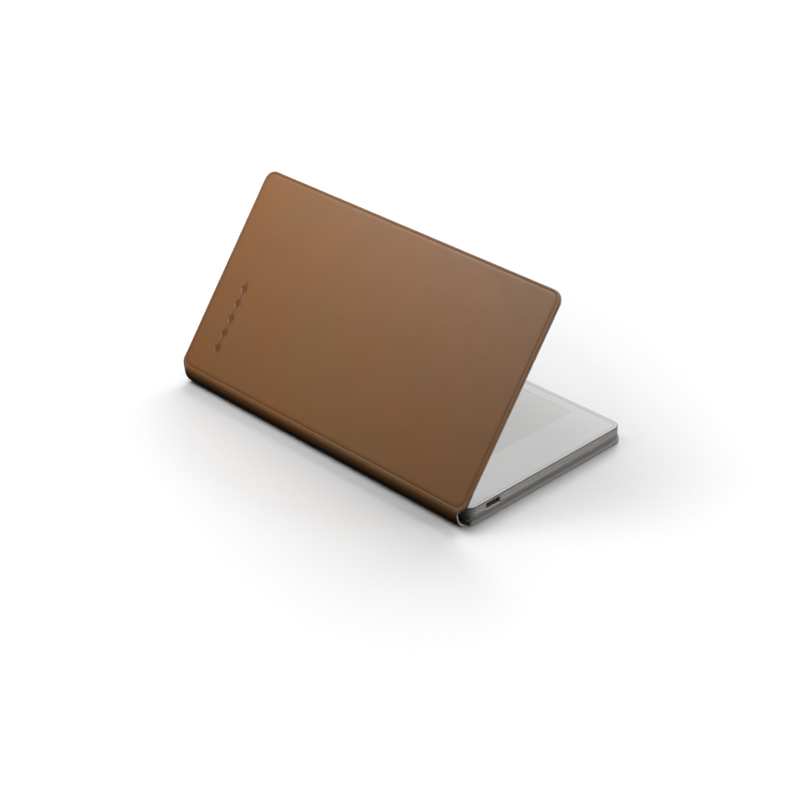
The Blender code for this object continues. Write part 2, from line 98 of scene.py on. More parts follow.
# The outer side of the spine is one cubic curve between the two panels
FOLD = math.atan2(LOWER_HINGE.x - UPPER_HINGE.x, UPPER_HINGE.z - LOWER_HINGE.z)
COVER_RUN = Vector((math.cos(2 * FOLD), 0.0, math.sin(2 * FOLD)))
COVER_OUT = Vector((-math.sin(2 * FOLD), 0.0, math.cos(2 * FOLD)))
LOWER_START = 0.55 * MM
UPPER_START = 1.0 * MM
LOWER_HANDLE = 4.3 * MM
UPPER_HANDLE = 3.0 * MM
CURVE_SAMPLES = 400

# The front cover is cut a hair shorter than the box that holds it
COVER_TRIM_LENGTH = 0.30 * MM
COVER_TRIM_REACH = 0.40 * MM
TRIM_FADE = 9.0 * MM


# ---------------------------------------------------------------- mesh helpers


def smooth(low, high, value):
    share = min(1.0, max(0.0, (value - low) / (high - low)))
    return share * share * (3 - 2 * share)

def finish_mesh(name, bm, look, body=None, smooth_angle=35.0):
    """Turns a bmesh into a shown object; rides on a body when one is given."""
    bmesh.ops.remove_doubles(bm, verts=bm.verts, dist=1e-7)
    bmesh.ops.recalc_face_normals(bm, faces=bm.faces)
    mesh = bpy.data.meshes.new(name)
    bm.to_mesh(mesh)
    bm.free()
    obj = bpy.data.objects.new(name, mesh)
    bpy.context.scene.collection.objects.link(obj)
    mesh.materials.append(look)
    mesh.shade_smooth()
    mesh.set_sharp_from_angle(angle=math.radians(smooth_angle))
    if body:
        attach(obj, body)
    return obj


def apply_modifiers(obj):
    """Replaces the object's mesh by its evaluated one."""
    bpy.context.view_layer.update()
    graph = bpy.context.evaluated_depsgraph_get()
    mesh = bpy.data.meshes.new_from_object(
        obj.evaluated_get(graph), preserve_all_data_layers=True, depsgraph=graph
    )
    obj.modifiers.clear()
    obj.data = mesh
    return obj


def corner_outline(low, high, radius, steps):
    """Points of a rounded rectangle in the XY plane, anticlockwise."""
    points = []
    centres = (
        (high[0] - radius, high[1] - radius, 0),
        (low[0] + radius, high[1] - radius, 90),
        (low[0] + radius, low[1] + radius, 180),
        (high[0] - radius, low[1] + radius, 270),
    )
    for x, y, start in centres:
        for step in range(steps + 1):
            turn = math.radians(start + 90 * step / steps)
            points.append((x + radius * math.cos(turn), y + radius * math.sin(turn)))
    return points


def inset_loop(bm, low, high, radius, inset, z, steps):
    lo = (low[0] + inset, low[1] + inset)
    hi = (high[0] - inset, high[1] - inset)
    outline = corner_outline(lo, hi, max(radius - inset, 0.02 * MM), steps)
    return [bm.verts.new((x, y, z)) for x, y in outline]


def bridge(bm, first, second):
    count = len(first)
    for i in range(count):
        j = (i + 1) % count
        bm.faces.new((first[i], first[j], second[j], second[i]))


def slab(name, low, high, radius, profile, look, body, steps=18, angle=35.0):
    """A solid plate; profile runs from its top middle round its side to its bottom
    middle, as (inset, z) pairs."""
    bm = bmesh.new()
    loops = [inset_loop(bm, low, high, radius, inset, z, steps) for inset, z in profile]
    for first, second in zip(loops, loops[1:]):
        bridge(bm, first, second)
    bm.faces.new(loops[0])
    bm.faces.new(list(reversed(loops[-1])))
    return finish_mesh(name, bm, look, body, angle)


def band(name, low, high, radius, profile, look, body, steps=18, angle=35.0):
    """A closed ring that follows a rounded rectangle; profile is a closed section."""
    bm = bmesh.new()
    loops = [inset_loop(bm, low, high, radius, inset, z, steps) for inset, z in profile]
    for first, second in zip(loops, loops[1:] + loops[:1]):
        bridge(bm, first, second)
    return finish_mesh(name, bm, look, body, angle)


def pill_points(width, height, steps=10, radius=None):
    """A pill or rounded rectangle in X and Z about the origin."""
    radius = min(radius or height / 2, height / 2)
    reach, rise = width / 2 - radius, height / 2 - radius
    points = []
    for side_x, side_z, start in ((1, -1, -90), (1, 1, 0), (-1, 1, 90), (-1, -1, 180)):
        for step in range(steps // 2 + 1):
            turn = math.radians(start + 90 * step / (steps // 2))
            x = side_x * reach + radius * math.cos(turn)
            points.append((x, side_z * rise + radius * math.sin(turn)))
    return points


def pill_loop(bm, centre, width, height, y, steps=10, radius=None):
    outline = pill_points(width, height, steps, radius)
    return [bm.verts.new((centre[0] + x, y, centre[1] + z)) for x, z in outline]


def pill_solid(name, centre, profile, look, body=None, radius=None):
    """A pill-shaped bar along Y; profile lists (width, height, y)."""
    bm = bmesh.new()
    loops = [pill_loop(bm, centre, w, h, y, 10, radius) for w, h, y in profile]
    for first, second in zip(loops, loops[1:]):
        bridge(bm, first, second)
    bm.faces.new(loops[0])
    bm.faces.new(list(reversed(loops[-1])))
    return finish_mesh(name, bm, look, body)


def cut_away(obj, cutter):
    """Subtracts the cutter from the object and removes it."""
    step = obj.modifiers.new("cut", "BOOLEAN")
    step.operation = "DIFFERENCE"
    step.solver = "EXACT"
    step.object = cutter
    apply_modifiers(obj)
    bpy.data.objects.remove(cutter, do_unlink=True)


# ---------------------------------------------------------------- spine curve


def spine_curve():
    """(points, run) of the outer side, from the back panel's end to the cover's."""
    outer = PANEL_THICKNESS / 2
    start = Vector((LOWER_HINGE.x + LOWER_START, 0.0, LOWER_HINGE.z - outer))
    end = UPPER_HINGE + COVER_RUN * UPPER_START + COVER_OUT * outer
    first = start + Vector((-LOWER_HANDLE, 0.0, 0.0))
    second = end - COVER_RUN * UPPER_HANDLE
    points = []
    for step in range(CURVE_SAMPLES + 1):
        t = step / CURVE_SAMPLES
        s = 1 - t
        points.append(start * s**3 + first * 3 * s * s * t + second * 3 * s * t * t + end * t**3)
    run = [0.0]
    for a, b in zip(points, points[1:]):
        run.append(run[-1] + (b - a).length)
    return points, run


CURVE, CURVE_RUN = spine_curve()
CURVE_LENGTH = CURVE_RUN[-1]


def curve_at(distance):
    """(point, outward normal) of the spine's outer side at a distance along it."""
    distance = min(max(distance, 0.0), CURVE_LENGTH)
    index = 1
    while CURVE_RUN[index] < distance and index < CURVE_SAMPLES:
        index += 1
    a, b = CURVE[index - 1], CURVE[index]
    share = (distance - CURVE_RUN[index - 1]) / (CURVE_RUN[index] - CURVE_RUN[index - 1])
    lead = CURVE[min(index + 2, CURVE_SAMPLES)]
    trail = CURVE[max(index - 3, 0)]
    tangent = (lead - trail).normalized()
    return a.lerp(b, share), Vector((-tangent.z, 0.0, tangent.x))


def middle_run():
    """The distance along the curve that faces the middle of the spine's chord."""
    chord = UPPER_HINGE - LOWER_HINGE
    middle = (UPPER_HINGE + LOWER_HINGE) / 2
    for point, run in zip(CURVE, CURVE_RUN):
        if (point - middle).dot(chord) >= 0:
            return run
    return CURVE_LENGTH / 2


SPLIT = middle_run()


def lower_place(x, y, depth):
    """A point of the back panel's sheets: x from the hinge, depth under the outside."""
    if x >= LOWER_START:
        return Vector((LOWER_HINGE.x + x, y, PANEL_LOW.z + depth))
    point, out = curve_at(LOWER_START - x)
    return Vector((point.x - out.x * depth, y, point.z - out.z * depth))


def upper_place(x, y, depth):
    """A point of the front cover's sheets: x from the hinge, depth under the outside."""
    if x >= UPPER_START:
        y *= 1.0 - COVER_TRIM_LENGTH * smooth(0.0, TRIM_FADE, x) / HALF_LENGTH
        x -= COVER_TRIM_REACH * (x - UPPER_START) / (FORE_EDGE - UPPER_START)
        base = UPPER_HINGE + COVER_RUN * x + COVER_OUT * (PANEL_THICKNESS / 2 - depth)
        return Vector((base.x, y, base.z))
    point, out = curve_at(CURVE_LENGTH - (UPPER_START - x))
    return Vector((point.x - out.x * depth, y, point.z - out.z * depth))


# ---------------------------------------------------------------- folio sheets

# Angles round a corner from the spine side; the web leaves it at the joining angle
JOIN_STEPS = 4
CORNER_ANGLES = [WEB_JOIN * step / JOIN_STEPS for step in range(JOIN_STEPS)] + [
    WEB_JOIN + (math.pi / 2 - WEB_JOIN) * step / 6 for step in range(7)
]
JOIN_HALF = HALF_LENGTH - CORNER + CORNER * math.sin(WEB_JOIN)
JOIN_EASE = 2 * (JOIN_HALF - WEB_HALF) * math.tan(WEB_JOIN)


def spread(low, high, spacing):
    count = max(1, round((high - low) / spacing))
    return [low + (high - low) * step / count for step in range(count + 1)]


def sheet_ring(xs, ys, spine_inset, inset, radius):
    """One ring of a panel's outline as (x, y, spine share) triples.

    Every ring of a panel has the same count of points, in the same order, and the
    spine share is 1 where the ring faces the spine and 0 on the free edges."""
    x_low = -SPINE_OVERLAP + spine_inset + radius
    x_high = FORE_EDGE - inset - radius
    y_high = HALF_LENGTH - inset - radius
    ring = []

    def corner(x, y, sign_x, sign_y, angles):
        for turn in angles:
            spine_share = 0.0
            if sign_x < 0:
                spine_share = min(1.0, max(0.0, 1.0 - (turn - WEB_JOIN) / 0.35))
            px = x + sign_x * radius * math.cos(turn)
            py = y + sign_y * radius * math.sin(turn)
            ring.append((px, py, spine_share))

    corner(x_low, -y_high, -1, -1, CORNER_ANGLES[::-1])
    ring.extend((x_low - radius, y, 1.0) for y in ys[1:-1])
    corner(x_low, y_high, -1, 1, CORNER_ANGLES)
    ring.extend((x, y_high + radius, 0.0) for x in xs[:-1])
    corner(x_high, y_high, 1, 1, CORNER_ANGLES[::-1])
    ring.extend((x_high + radius, y, 0.0) for y in ys[-2:0:-1])
    corner(x_high, -y_high, 1, -1, CORNER_ANGLES)
    ring.extend((x, -y_high - radius, 0.0) for x in xs[-2::-1])
    return ring


JOIN_X = -SPINE_OVERLAP + CORNER * (1 - math.cos(WEB_JOIN))


def web_narrowing(x):
    """How much of its length at the join the web keeps; it eases in, like a fillet."""
    run = min(max(JOIN_X - x, 0.0), JOIN_EASE)
    fall = (run - run * run / (2 * JOIN_EASE)) / math.tan(WEB_JOIN)
    full = min(1.0, fall / (JOIN_HALF - WEB_HALF))
    return 1.0 - full * (1.0 - WEB_HALF / JOIN_HALF)


class Sheet:
    """A closed sheet made of a panel with rounded corners and its half of the spine."""

    def __init__(self, place, xs, ys, web_xs):
        self.place = place
        self.xs = xs
        self.ys = ys
        self.web_xs = web_xs
        self.bm = bmesh.new()
        # tone: how dark a point is painted, as painted shade along the pressed line and as the pressed
        # ornament's mark
        self.tone = self.bm.verts.layers.float.new("tone")
        self.weight = self.bm.edges.layers.float.new("bevel_weight_edge")

    def vert(self, x, y, depth, tone=0.0):
        made = self.bm.verts.new(self.place(x, y, depth))
        made[self.tone] = tone
        return made

    def ring(self, spine_inset, inset, radius, rim_depth, spine_depth, tone=0.0):
        points = sheet_ring(self.xs, self.ys, spine_inset, inset, radius)
        made = []
        for x, y, share in points:
            depth = rim_depth + (spine_depth - rim_depth) * share
            made.append(self.vert(x, y, depth, tone))
        return made

    def web_slice(self):
        """Indices of the outline's points that the web continues from."""
        steps = len(CORNER_ANGLES)
        first = steps - 1 - JOIN_STEPS
        last = steps + len(self.ys) - 2 + JOIN_STEPS
        return range(first, last + 1)

    def surface(self, rings, relief, web_depth):
        """One side: rings from the outline inwards, an inner grid and the web.
        Returns (outline ring, list of web columns)."""
        loops = [self.ring(*ring) for ring in rings]
        for first, second in zip(loops, loops[1:]):
            bridge(self.bm, first, second)
        base = rings[-1][3]
        grid = []
        for x in self.xs:
            column = []
            for y in self.ys:
                lift, tone = relief(x, y)
                column.append(self.vert(x, y, base - lift, tone))
            grid.append(column)
        for left, right in zip(grid, grid[1:]):
            for j in range(len(self.ys) - 1):
                self.bm.faces.new((left[j], right[j], right[j + 1], left[j + 1]))
        outline = loops[0]
        columns = [[outline[i] for i in self.web_slice()]]
        points = sheet_ring(self.xs, self.ys, 0.0, 0.0, CORNER)
        starts = [points[i][:2] for i in self.web_slice()]
        for number, x in enumerate(self.web_xs, 1):
            fade = max(0.0, 1.0 - number / WEB_EASE_COLUMNS)
            column = []
            for start_x, start_y in starts:
                at_x = x + (start_x + SPINE_OVERLAP) * fade
                column.append(self.vert(at_x, start_y * web_narrowing(at_x), web_depth(x)))
            columns.append(column)
        for left, right in zip(columns, columns[1:]):
            for j in range(len(left) - 1):
                self.bm.faces.new((left[j], left[j + 1], right[j + 1], right[j]))
        return outline, columns

    def close(self, top, bottom, painted):
        """Joins the two sides round the free edge and the web."""
        outline, columns = top
        under, under_columns = bottom
        web = set(self.web_slice())
        count = len(outline)
        for i in range(count):
            j = (i + 1) % count
            if i in web and j in web:
                continue
            wall = self.bm.faces.new((outline[i], under[i], under[j], outline[j]))
            wall.material_index = int(painted)
        self.close_web(columns, under_columns)
        for loop in (outline, under):
            self.mark(loop, web)
        for side in (0, -1):
            for pair in (columns, under_columns):
                for left, right in zip(pair, pair[1:]):
                    self.weigh(left[side], right[side])

    def close_web(self, columns, under_columns):
        """The web's two side walls and its end."""
        for side in (0, -1):
            for k in range(len(columns) - 1):
                wall = self.bm.faces.new(
                    (
                        columns[k][side],
                        columns[k + 1][side],
                        under_columns[k + 1][side],
                        under_columns[k][side],
                    )
                )
                wall.material_index = 1
        last, under_last = columns[-1], under_columns[-1]
        for j in range(len(last) - 1):
            self.bm.faces.new((last[j], last[j + 1], under_last[j + 1], under_last[j]))

    def mark(self, loop, web):
        count = len(loop)
        for i in range(count):
            j = (i + 1) % count
            if not (i in web and j in web):
                self.weigh(loop[i], loop[j])

    def weigh(self, a, b):
        edge = self.bm.edges.get((a, b))
        if edge:
            edge[self.weight] = 1.0

    def finish(self, name, looks, rounding):
        unused = [vert for vert in self.bm.verts if not vert.link_faces]
        bmesh.ops.delete(self.bm, geom=unused, context="VERTS")
        obj = finish_mesh(name, self.bm, looks[0], smooth_angle=40.0)
        obj.data.materials.append(looks[1])
        step = obj.modifiers.new("rim", "BEVEL")
        step.limit_method = "WEIGHT"
        step.width = rounding
        step.segments = 3
        step.use_clamp_overlap = True
        apply_modifiers(obj)
        obj.data.set_sharp_from_angle(angle=math.radians(40.0))
        return obj


LOWER_WEB = SPLIT - LOWER_START - SPINE_OVERLAP
UPPER_WEB = (CURVE_LENGTH - SPLIT) - UPPER_START - SPINE_OVERLAP

# Ornament: a pressed rule of lozenges near the head of the cover
ORNAMENT_X = (12.0 * MM, 53.0 * MM)
ORNAMENT_Y = 80.0 * MM
LOZENGES = 5
LOZENGE_LONG = 3.2 * MM
LOZENGE_WIDE = 2.3 * MM
RULE_HALF = 0.28 * MM
PRESS_DEPTH = 0.20 * MM
PRESS_SOFT = 0.35 * MM


def ornament_distance(x, y):
    """Roughly the distance outside the ornament's outline, negative inside."""
    best = 1.0
    low, high = ORNAMENT_X
    for k in range(LOZENGES):
        centre = low + (high - low) * (k + 0.5) / LOZENGES
        share = abs(x - centre) / LOZENGE_LONG + abs(y - ORNAMENT_Y) / LOZENGE_WIDE
        best = min(best, (share - 1.0) * LOZENGE_WIDE * 0.86)
    if low <= x <= high:
        best = min(best, abs(y - ORNAMENT_Y) - RULE_HALF)
    return best


def leather_swell(x, y):
    """Slow unevenness of glued leather over a board."""
    point = Vector((x * 38.0, y * 38.0, 0.0))
    return 0.035 * MM * noise.noise(point)


def cover_relief(x, y):
    pressed = 1.0 - smooth(-PRESS_SOFT / 2, PRESS_SOFT / 2, ornament_distance(x, y))
    fade = smooth(4.8 * MM, 12 * MM, min(x, FORE_EDGE - x, HALF_LENGTH - abs(y)))
    return leather_swell(x, y) * fade - PRESS_DEPTH * pressed, pressed


def flat_relief(x, y):
    return 0.0, 0.0


def rim_rings(depth, crease_shade, tuck=0.0):
    """Outer side with a pressed line round the board, which its tone values darken with painted shade;
    tuck draws its outline in.
    """
    spine, edge = CREASE_SPINE, CREASE_EDGE

    def line(offset, share, tone):
        inset = edge + offset * 0.8
        low = CREASE_DEPTH * share
        return (spine + offset, inset, CORNER - inset, low, low, tone)

    return [
        (0.0, tuck, CORNER - tuck, depth, 0.0, 0.1),
        line(-0.70 * MM, 0.0, 0.0),
        line(-0.35 * MM, 0.45, 0.4),
        line(0.0, 1.0, crease_shade),
        line(0.35 * MM, 0.55, 0.6),
        line(0.80 * MM, 0.0, 0.1),
        (spine + 2.2 * MM, 3.2 * MM, CORNER - 3.2 * MM, 0.0, 0.0, 0.0),
        (spine + BORDER, CORNER, 0.0, 0.0, 0.0, 0.0),
    ]


def tray_rings(rim, floor, web):
    """Inner side with a deeper rim round the board."""
    return [
        (0.0, 0.0, CORNER, rim, web, 0.0),
        (1.6 * MM, 0.8 * MM, CORNER - 0.8 * MM, rim, (web + floor) / 2, 0.0),
        (2.2 * MM, 1.1 * MM, CORNER - 1.1 * MM, floor, floor, 0.0),
        (CREASE_SPINE + BORDER, CORNER, 0.0, floor, floor, 0.0),
    ]


def flat_rings(depth, web, half_inset=2.6 * MM):
    """Plain side that thins out towards the web."""
    return [
        (0.0, 0.0, CORNER, depth, web, 0.0),
        (1.0 * MM, 0.4 * MM, CORNER - 0.4 * MM, depth, web * 0.65 + depth * 0.35, 0.0),
        (1.9 * MM, 0.8 * MM, CORNER - 0.8 * MM, depth, web * 0.12 + depth * 0.88, 0.0),
        (half_inset, half_inset * 0.7, CORNER - half_inset * 0.7, depth, depth, 0.0),
        (CREASE_SPINE + BORDER, CORNER, 0.0, depth, depth, 0.0),
    ]


def inner_lists(dense):
    """Grid lines inside a panel's border; dense adds lines at the ornament."""
    x_low = -SPINE_OVERLAP + CREASE_SPINE + BORDER
    x_high = FORE_EDGE - CORNER
    y_high = HALF_LENGTH - CORNER
    if not dense:
        return spread(x_low, x_high, 9 * MM), spread(-y_high, y_high, 9 * MM)
    first, last = ORNAMENT_X[0] - 2 * MM, ORNAMENT_X[1] + 2 * MM
    low, high = ORNAMENT_Y - 2.6 * MM, ORNAMENT_Y + 2.6 * MM
    xs = spread(x_low, first, 2 * MM)[:-1] + spread(first, last, 0.25 * MM)
    xs += spread(last, x_high, 5 * MM)[1:]
    ys = spread(-y_high, low, 6 * MM)[:-1] + spread(low, high, 0.2 * MM)
    ys += spread(high, y_high, 3 * MM)[1:]
    return xs, ys


def web_list(length, count=22):
    return [-SPINE_OVERLAP - length * step / count for step in range(1, count + 1)]


def make_sheet(
    name, place, length, looks, outer, inner, relief, depths, dense=False, painted=False
):
    """One leather or lining sheet; looks are (faces, cut edge), depths are
    (web outer, web inner, rounding) and painted gives the free edge the second look."""
    xs, ys = inner_lists(dense)
    sheet = Sheet(place, xs, ys, web_list(length))
    top = sheet.surface(outer, relief, lambda x: depths[0])
    bottom = sheet.surface(inner, flat_relief, lambda x: depths[1])
    sheet.close(top, bottom, painted)
    return sheet.finish(name, looks, depths[2])


# ---------------------------------------------------------------- materials

REST_PLACE = "rest_place"


class Look:
    """A node material built up step by step; every pattern is in object metres."""

    def __init__(self, name, from_attribute=False):
        self.made = bpy.data.materials.new(name)
        self.made.use_nodes = True
        self.tree = self.made.node_tree
        self.shader = self.tree.nodes["Principled BSDF"]
        if from_attribute:
            self.place = self.attribute(REST_PLACE, "Vector")
        else:
            self.place = self.tree.nodes.new("ShaderNodeTexCoord").outputs["Object"]

    def node(self, kind, settings=None, **inputs):
        made = self.tree.nodes.new("ShaderNode" + kind)
        for key, value in (settings or {}).items():
            setattr(made, key, value)
        for key, value in inputs.items():
            self.feed(made.inputs[key.replace("_", " ")], value)
        return made

    def feed(self, socket, value):
        if isinstance(value, bpy.types.NodeSocket):
            self.tree.links.new(value, socket)
        elif isinstance(value, tuple) and len(value) == 3 and socket.type == "RGBA":
            socket.default_value = (*value, 1.0)
        else:
            socket.default_value = value

    def attribute(self, name, output="Fac"):
        made = self.tree.nodes.new("ShaderNodeAttribute")
        made.attribute_name = name
        return made.outputs[output]

    def noise(self, size, detail=3.0, roughness=0.5, stretch=(1, 1, 1), distortion=0.0):
        """Noise with features of about this size, 0.5 on average."""
        vector = self.scaled(stretch)
        return self.node(
            "TexNoise",
            Vector=vector,
            Scale=1.0 / size,
            Detail=detail,
            Roughness=roughness,
            Distortion=distortion,
        ).outputs["Fac"]

    def cells(self, size, feature="F1", stretch=(1, 1, 1)):
        vector = self.scaled(stretch)
        settings = {"feature": feature}
        return self.node("TexVoronoi", settings, Vector=vector, Scale=1.0 / size).outputs[
            "Distance"
        ]

    def scaled(self, stretch):
        if tuple(stretch) == (1, 1, 1):
            return self.place
        made = self.node("VectorMath", {"operation": "MULTIPLY"})
        self.feed(made.inputs[0], self.place)
        made.inputs[1].default_value = tuple(1.0 / s for s in stretch)
        return made.outputs["Vector"]

    def remap(self, value, low, high, to_low, to_high):
        made = self.node("MapRange", Value=value)
        made.inputs["From Min"].default_value = low
        made.inputs["From Max"].default_value = high
        made.inputs["To Min"].default_value = to_low
        made.inputs["To Max"].default_value = to_high
        return made.outputs["Result"]

    def math(self, operation, first, second=0.0):
        made = self.node("Math", {"operation": operation})
        self.feed(made.inputs[0], first)
        self.feed(made.inputs[1], second)
        return made.outputs["Value"]

    def mix(self, share, first, second, blend="MIX"):
        made = self.node("Mix", {"data_type": "RGBA", "blend_type": blend})
        self.feed(made.inputs[0], share)
        self.feed(made.inputs[6], first)
        self.feed(made.inputs[7], second)
        return made.outputs[2]

    def bump(self, height, depth, strength=1.0, under=None):
        made = self.node("Bump", Height=height, Distance=depth, Strength=strength)
        if under:
            self.feed(made.inputs["Normal"], under)
        return made.outputs["Normal"]

    def set(self, **inputs):
        for key, value in inputs.items():
            self.feed(self.shader.inputs[key.replace("_", " ")], value)
        return self.made


def leather_look(name, base, from_attribute=True, gloss=0.46):
    """Smooth dyed calf leather: faint pores and cloudy dye, with painted shade along its pressed line
    where the tone attribute marks it; the same attribute also darkens the pressed ornament.
    """
    look = Look(name, from_attribute)
    deep = tuple(channel * 0.84 for channel in base)
    warm = (base[0] * 1.06, base[1] * 0.97, base[2] * 0.90)
    cool = (base[0] * 0.95, base[1] * 1.03, base[2] * 1.06)
    cloud = look.remap(look.noise(0.040, 3.0, 0.5), 0.35, 0.65, 0.0, 1.0)
    colour = look.mix(cloud, cool, warm)
    patch = look.remap(look.noise(0.016, 4.0, 0.55), 0.40, 0.72, 0.0, 0.30)
    colour = look.mix(patch, colour, deep)
    crease_shade = look.attribute("tone")
    pores = look.cells(0.00042)
    pits = look.remap(pores, 0.0, 0.55, 1.0, 0.0)
    colour = look.mix(look.math("MULTIPLY", pits, 0.10), colour, deep)
    # Painted shade: the tone attribute pulls the colour towards a much darker brown along the pressed
    # line and the edges
    crease_shade_colour = tuple(channel * 0.36 for channel in base)
    colour = look.mix(look.math("MULTIPLY", crease_shade, 0.62), colour, crease_shade_colour)
    wrinkle = look.cells(0.0013, "DISTANCE_TO_EDGE", (1.0, 1.25, 1.0))
    lines = look.remap(wrinkle, 0.0, 0.12, 0.0, 1.0)
    grain = look.bump(lines, 0.000014, 0.30)
    grain = look.bump(pores, 0.00002, 0.25, grain)
    grain = look.bump(look.noise(0.005, 3.0), 0.00005, 0.30, grain)
    rough = look.remap(look.noise(0.008, 4.0), 0.3, 0.7, gloss - 0.03, gloss + 0.05)
    rough = look.math("ADD", rough, look.math("MULTIPLY", pits, 0.06))
    return look.set(
        Base_Color=colour,
        Roughness=rough,
        Normal=grain,
        Specular_IOR_Level=0.60,
        Sheen_Weight=0.05,
        Sheen_Roughness=0.5,
    )


def microfibre_look(name, base, fold_shade_and_ledge_light=False):
    """Brushed lining cloth: short fibres, a soft sheen and slight random tone. Its third argument
    paints shade on it inside the spine and paints light on the ledges along its two short edges."""
    look = Look(name, True)
    light = tuple(min(1.0, channel * 1.22) for channel in base)
    dark = tuple(channel * 0.78 for channel in base)
    fibre = look.noise(0.00035, 5.0, 0.7, (1.0, 3.0, 1.0))
    nap = look.noise(0.012, 3.0, 0.5)
    colour = look.mix(look.remap(fibre, 0.3, 0.7, 0.0, 1.0), dark, light)
    colour = look.mix(look.remap(nap, 0.35, 0.65, 0.0, 0.35), colour, base)
    # Painted shade where the tone attribute marks a pressed line
    crease_shade = look.math("MULTIPLY", look.attribute("tone"), 0.5)
    colour = look.mix(crease_shade, colour, dark)
    if fold_shade_and_ledge_light:
        # Painted light on the ledges near the two short edges, then painted shade inside the spine
        place = look.node("SeparateXYZ", Vector=look.place)
        across = look.math("ABSOLUTE", place.outputs["Y"])
        rise = look.remap(across, *LEDGE_START, 0.0, 1.0)
        lit_ledge = look.math("MULTIPLY", rise, look.remap(across, *LEDGE_END, 1.0, 0.0))
        colour = look.mix(lit_ledge, colour, LEDGE_LIT_GREY)
        inside = look.remap(place.outputs["X"], *FOLD_SHADE_REACH, 0.9, 0.0)
        colour = look.mix(inside, colour, FOLD_SHADE_GREY)
    cloth = look.bump(fibre, 0.00005, 0.5)
    return look.set(
        Base_Color=colour,
        Roughness=look.remap(fibre, 0.3, 0.7, 0.78, 0.95),
        Normal=cloth,
        Sheen_Weight=0.35,
        Sheen_Roughness=0.45,
        Specular_IOR_Level=0.2,
    )


def satin_metal_look(name, base, roughness=0.42, metallic=0.25, grain=0.00022):
    """Bead-blasted anodised alloy."""
    look = Look(name)
    blast = look.noise(grain, 2.0, 0.6)
    haze = look.noise(0.014, 3.0)
    light = tuple(channel * 1.08 for channel in base)
    dark = tuple(channel * 0.92 for channel in base)
    colour = look.mix(look.remap(blast, 0.35, 0.65, 0.0, 1.0), dark, light)
    colour = look.mix(look.remap(haze, 0.35, 0.65, 0.0, 0.25), colour, base)
    rough = look.remap(blast, 0.3, 0.7, roughness - 0.05, roughness + 0.07)
    return look.set(
        Base_Color=colour,
        Metallic=metallic,
        Roughness=rough,
        Normal=look.bump(blast, 0.000012, 0.5),
    )


def frosted_glass_look():
    """Etched cover glass over a grey foot band and a slightly darker page area, with a painted shadow
    line round the page.
    """
    look = Look("frosted_glass_look")
    place = look.node("SeparateXYZ", Vector=look.place)
    page_x = look.math("ABSOLUTE", place.outputs["X"])
    page_y = look.math("ABSOLUTE", look.math("SUBTRACT", place.outputs["Y"], PAGE_MIDDLE))
    out_x = look.math("SUBTRACT", page_x, PAGE_HALF_WIDTH)
    out_y = look.math("SUBTRACT", page_y, PAGE_HALF_LENGTH)
    outside = look.math("MAXIMUM", out_x, out_y)
    inside = look.remap(outside, -0.00006, 0.00006, 1.0, 0.0)
    # Painted shadow: a dark line round the page where the border's edge shades the recessed page,
    # stronger along the long sides
    rim = look.remap(look.math("ABSOLUTE", outside), 0.0, PAGE_SHADOW_WIDTH, 1.0, 0.0)
    along = look.remap(look.math("SUBTRACT", out_x, out_y), -PAGE_SHADOW_WIDTH, PAGE_SHADOW_WIDTH, *SHADOW_SHARES)
    paper = look.noise(0.00018, 2.0, 0.6)
    page = look.mix(look.remap(paper, 0.35, 0.65, 0.0, 1.0), PAGE_GREY, PAGE_GREY_LIGHT)
    cloud = look.noise(0.02, 3.0)
    border = look.mix(look.remap(cloud, 0.35, 0.65, 0.0, 1.0), BORDER_GREY, BORDER_LIGHT)
    colour = look.mix(inside, border, page)
    colour = look.mix(look.math("MULTIPLY", rim, along), colour, PAGE_SHADOW_LINE)
    etch = look.noise(0.00012, 2.0, 0.7)
    return look.set(
        Base_Color=colour,
        Roughness=look.remap(etch, 0.3, 0.7, 0.34, 0.44),
        Normal=look.bump(etch, 0.000004, 0.4),
        Specular_IOR_Level=0.5,
        Coat_Weight=0.15,
        Coat_Roughness=0.35,
    )


def moulded_look(name, base, roughness=0.55, grain=0.0003, depth=0.00003, metallic=0.0):
    """Moulded plastic, rubber or resin with a fine spark-eroded grain."""
    look = Look(name)
    spots = look.cells(grain)
    haze = look.noise(0.008, 3.0)
    dark = tuple(channel * 0.85 for channel in base)
    light = tuple(min(1.0, channel * 1.12) for channel in base)
    colour = look.mix(look.remap(spots, 0.1, 0.7, 0.0, 1.0), dark, light)
    colour = look.mix(look.remap(haze, 0.35, 0.65, 0.0, 0.4), colour, base)
    return look.set(
        Base_Color=colour,
        Metallic=metallic,
        Roughness=look.remap(haze, 0.3, 0.7, roughness - 0.05, roughness + 0.08),
        Normal=look.bump(spots, depth, 0.4),
    )


def brushed_look(name, base, roughness, stretch=(1.0, 30.0, 1.0), metallic=1.0):
    """Drawn or brushed metal, its marks along Y."""
    look = Look(name)
    marks = look.noise(0.00012, 3.0, 0.6, stretch)
    stain = look.noise(0.006, 3.0)
    dark = tuple(channel * 0.8 for channel in base)
    colour = look.mix(look.remap(marks, 0.3, 0.7, 0.0, 1.0), dark, base)
    colour = look.mix(look.remap(stain, 0.4, 0.7, 0.0, 0.3), colour, dark)
    return look.set(
        Base_Color=colour,
        Metallic=metallic,
        Roughness=look.remap(marks, 0.3, 0.7, roughness - 0.05, roughness + 0.1),
        Normal=look.bump(marks, 0.000008, 0.5),
    )


def greyboard_look():
    """Pressed paper board: flecked pulp."""
    look = Look("greyboard_look")
    pulp = look.noise(0.0006, 6.0, 0.75, (1.0, 2.0, 1.0))
    fleck = look.remap(look.cells(0.0018), 0.0, 0.12, 1.0, 0.0)
    colour = look.mix(look.remap(pulp, 0.3, 0.7, 0.0, 1.0), (0.22, 0.20, 0.17), (0.40, 0.37, 0.32))
    colour = look.mix(look.math("MULTIPLY", fleck, 0.5), colour, (0.12, 0.10, 0.09))
    normal = look.bump(pulp, 0.00004, 0.6)
    return look.set(Base_Color=colour, Roughness=0.9, Normal=normal)


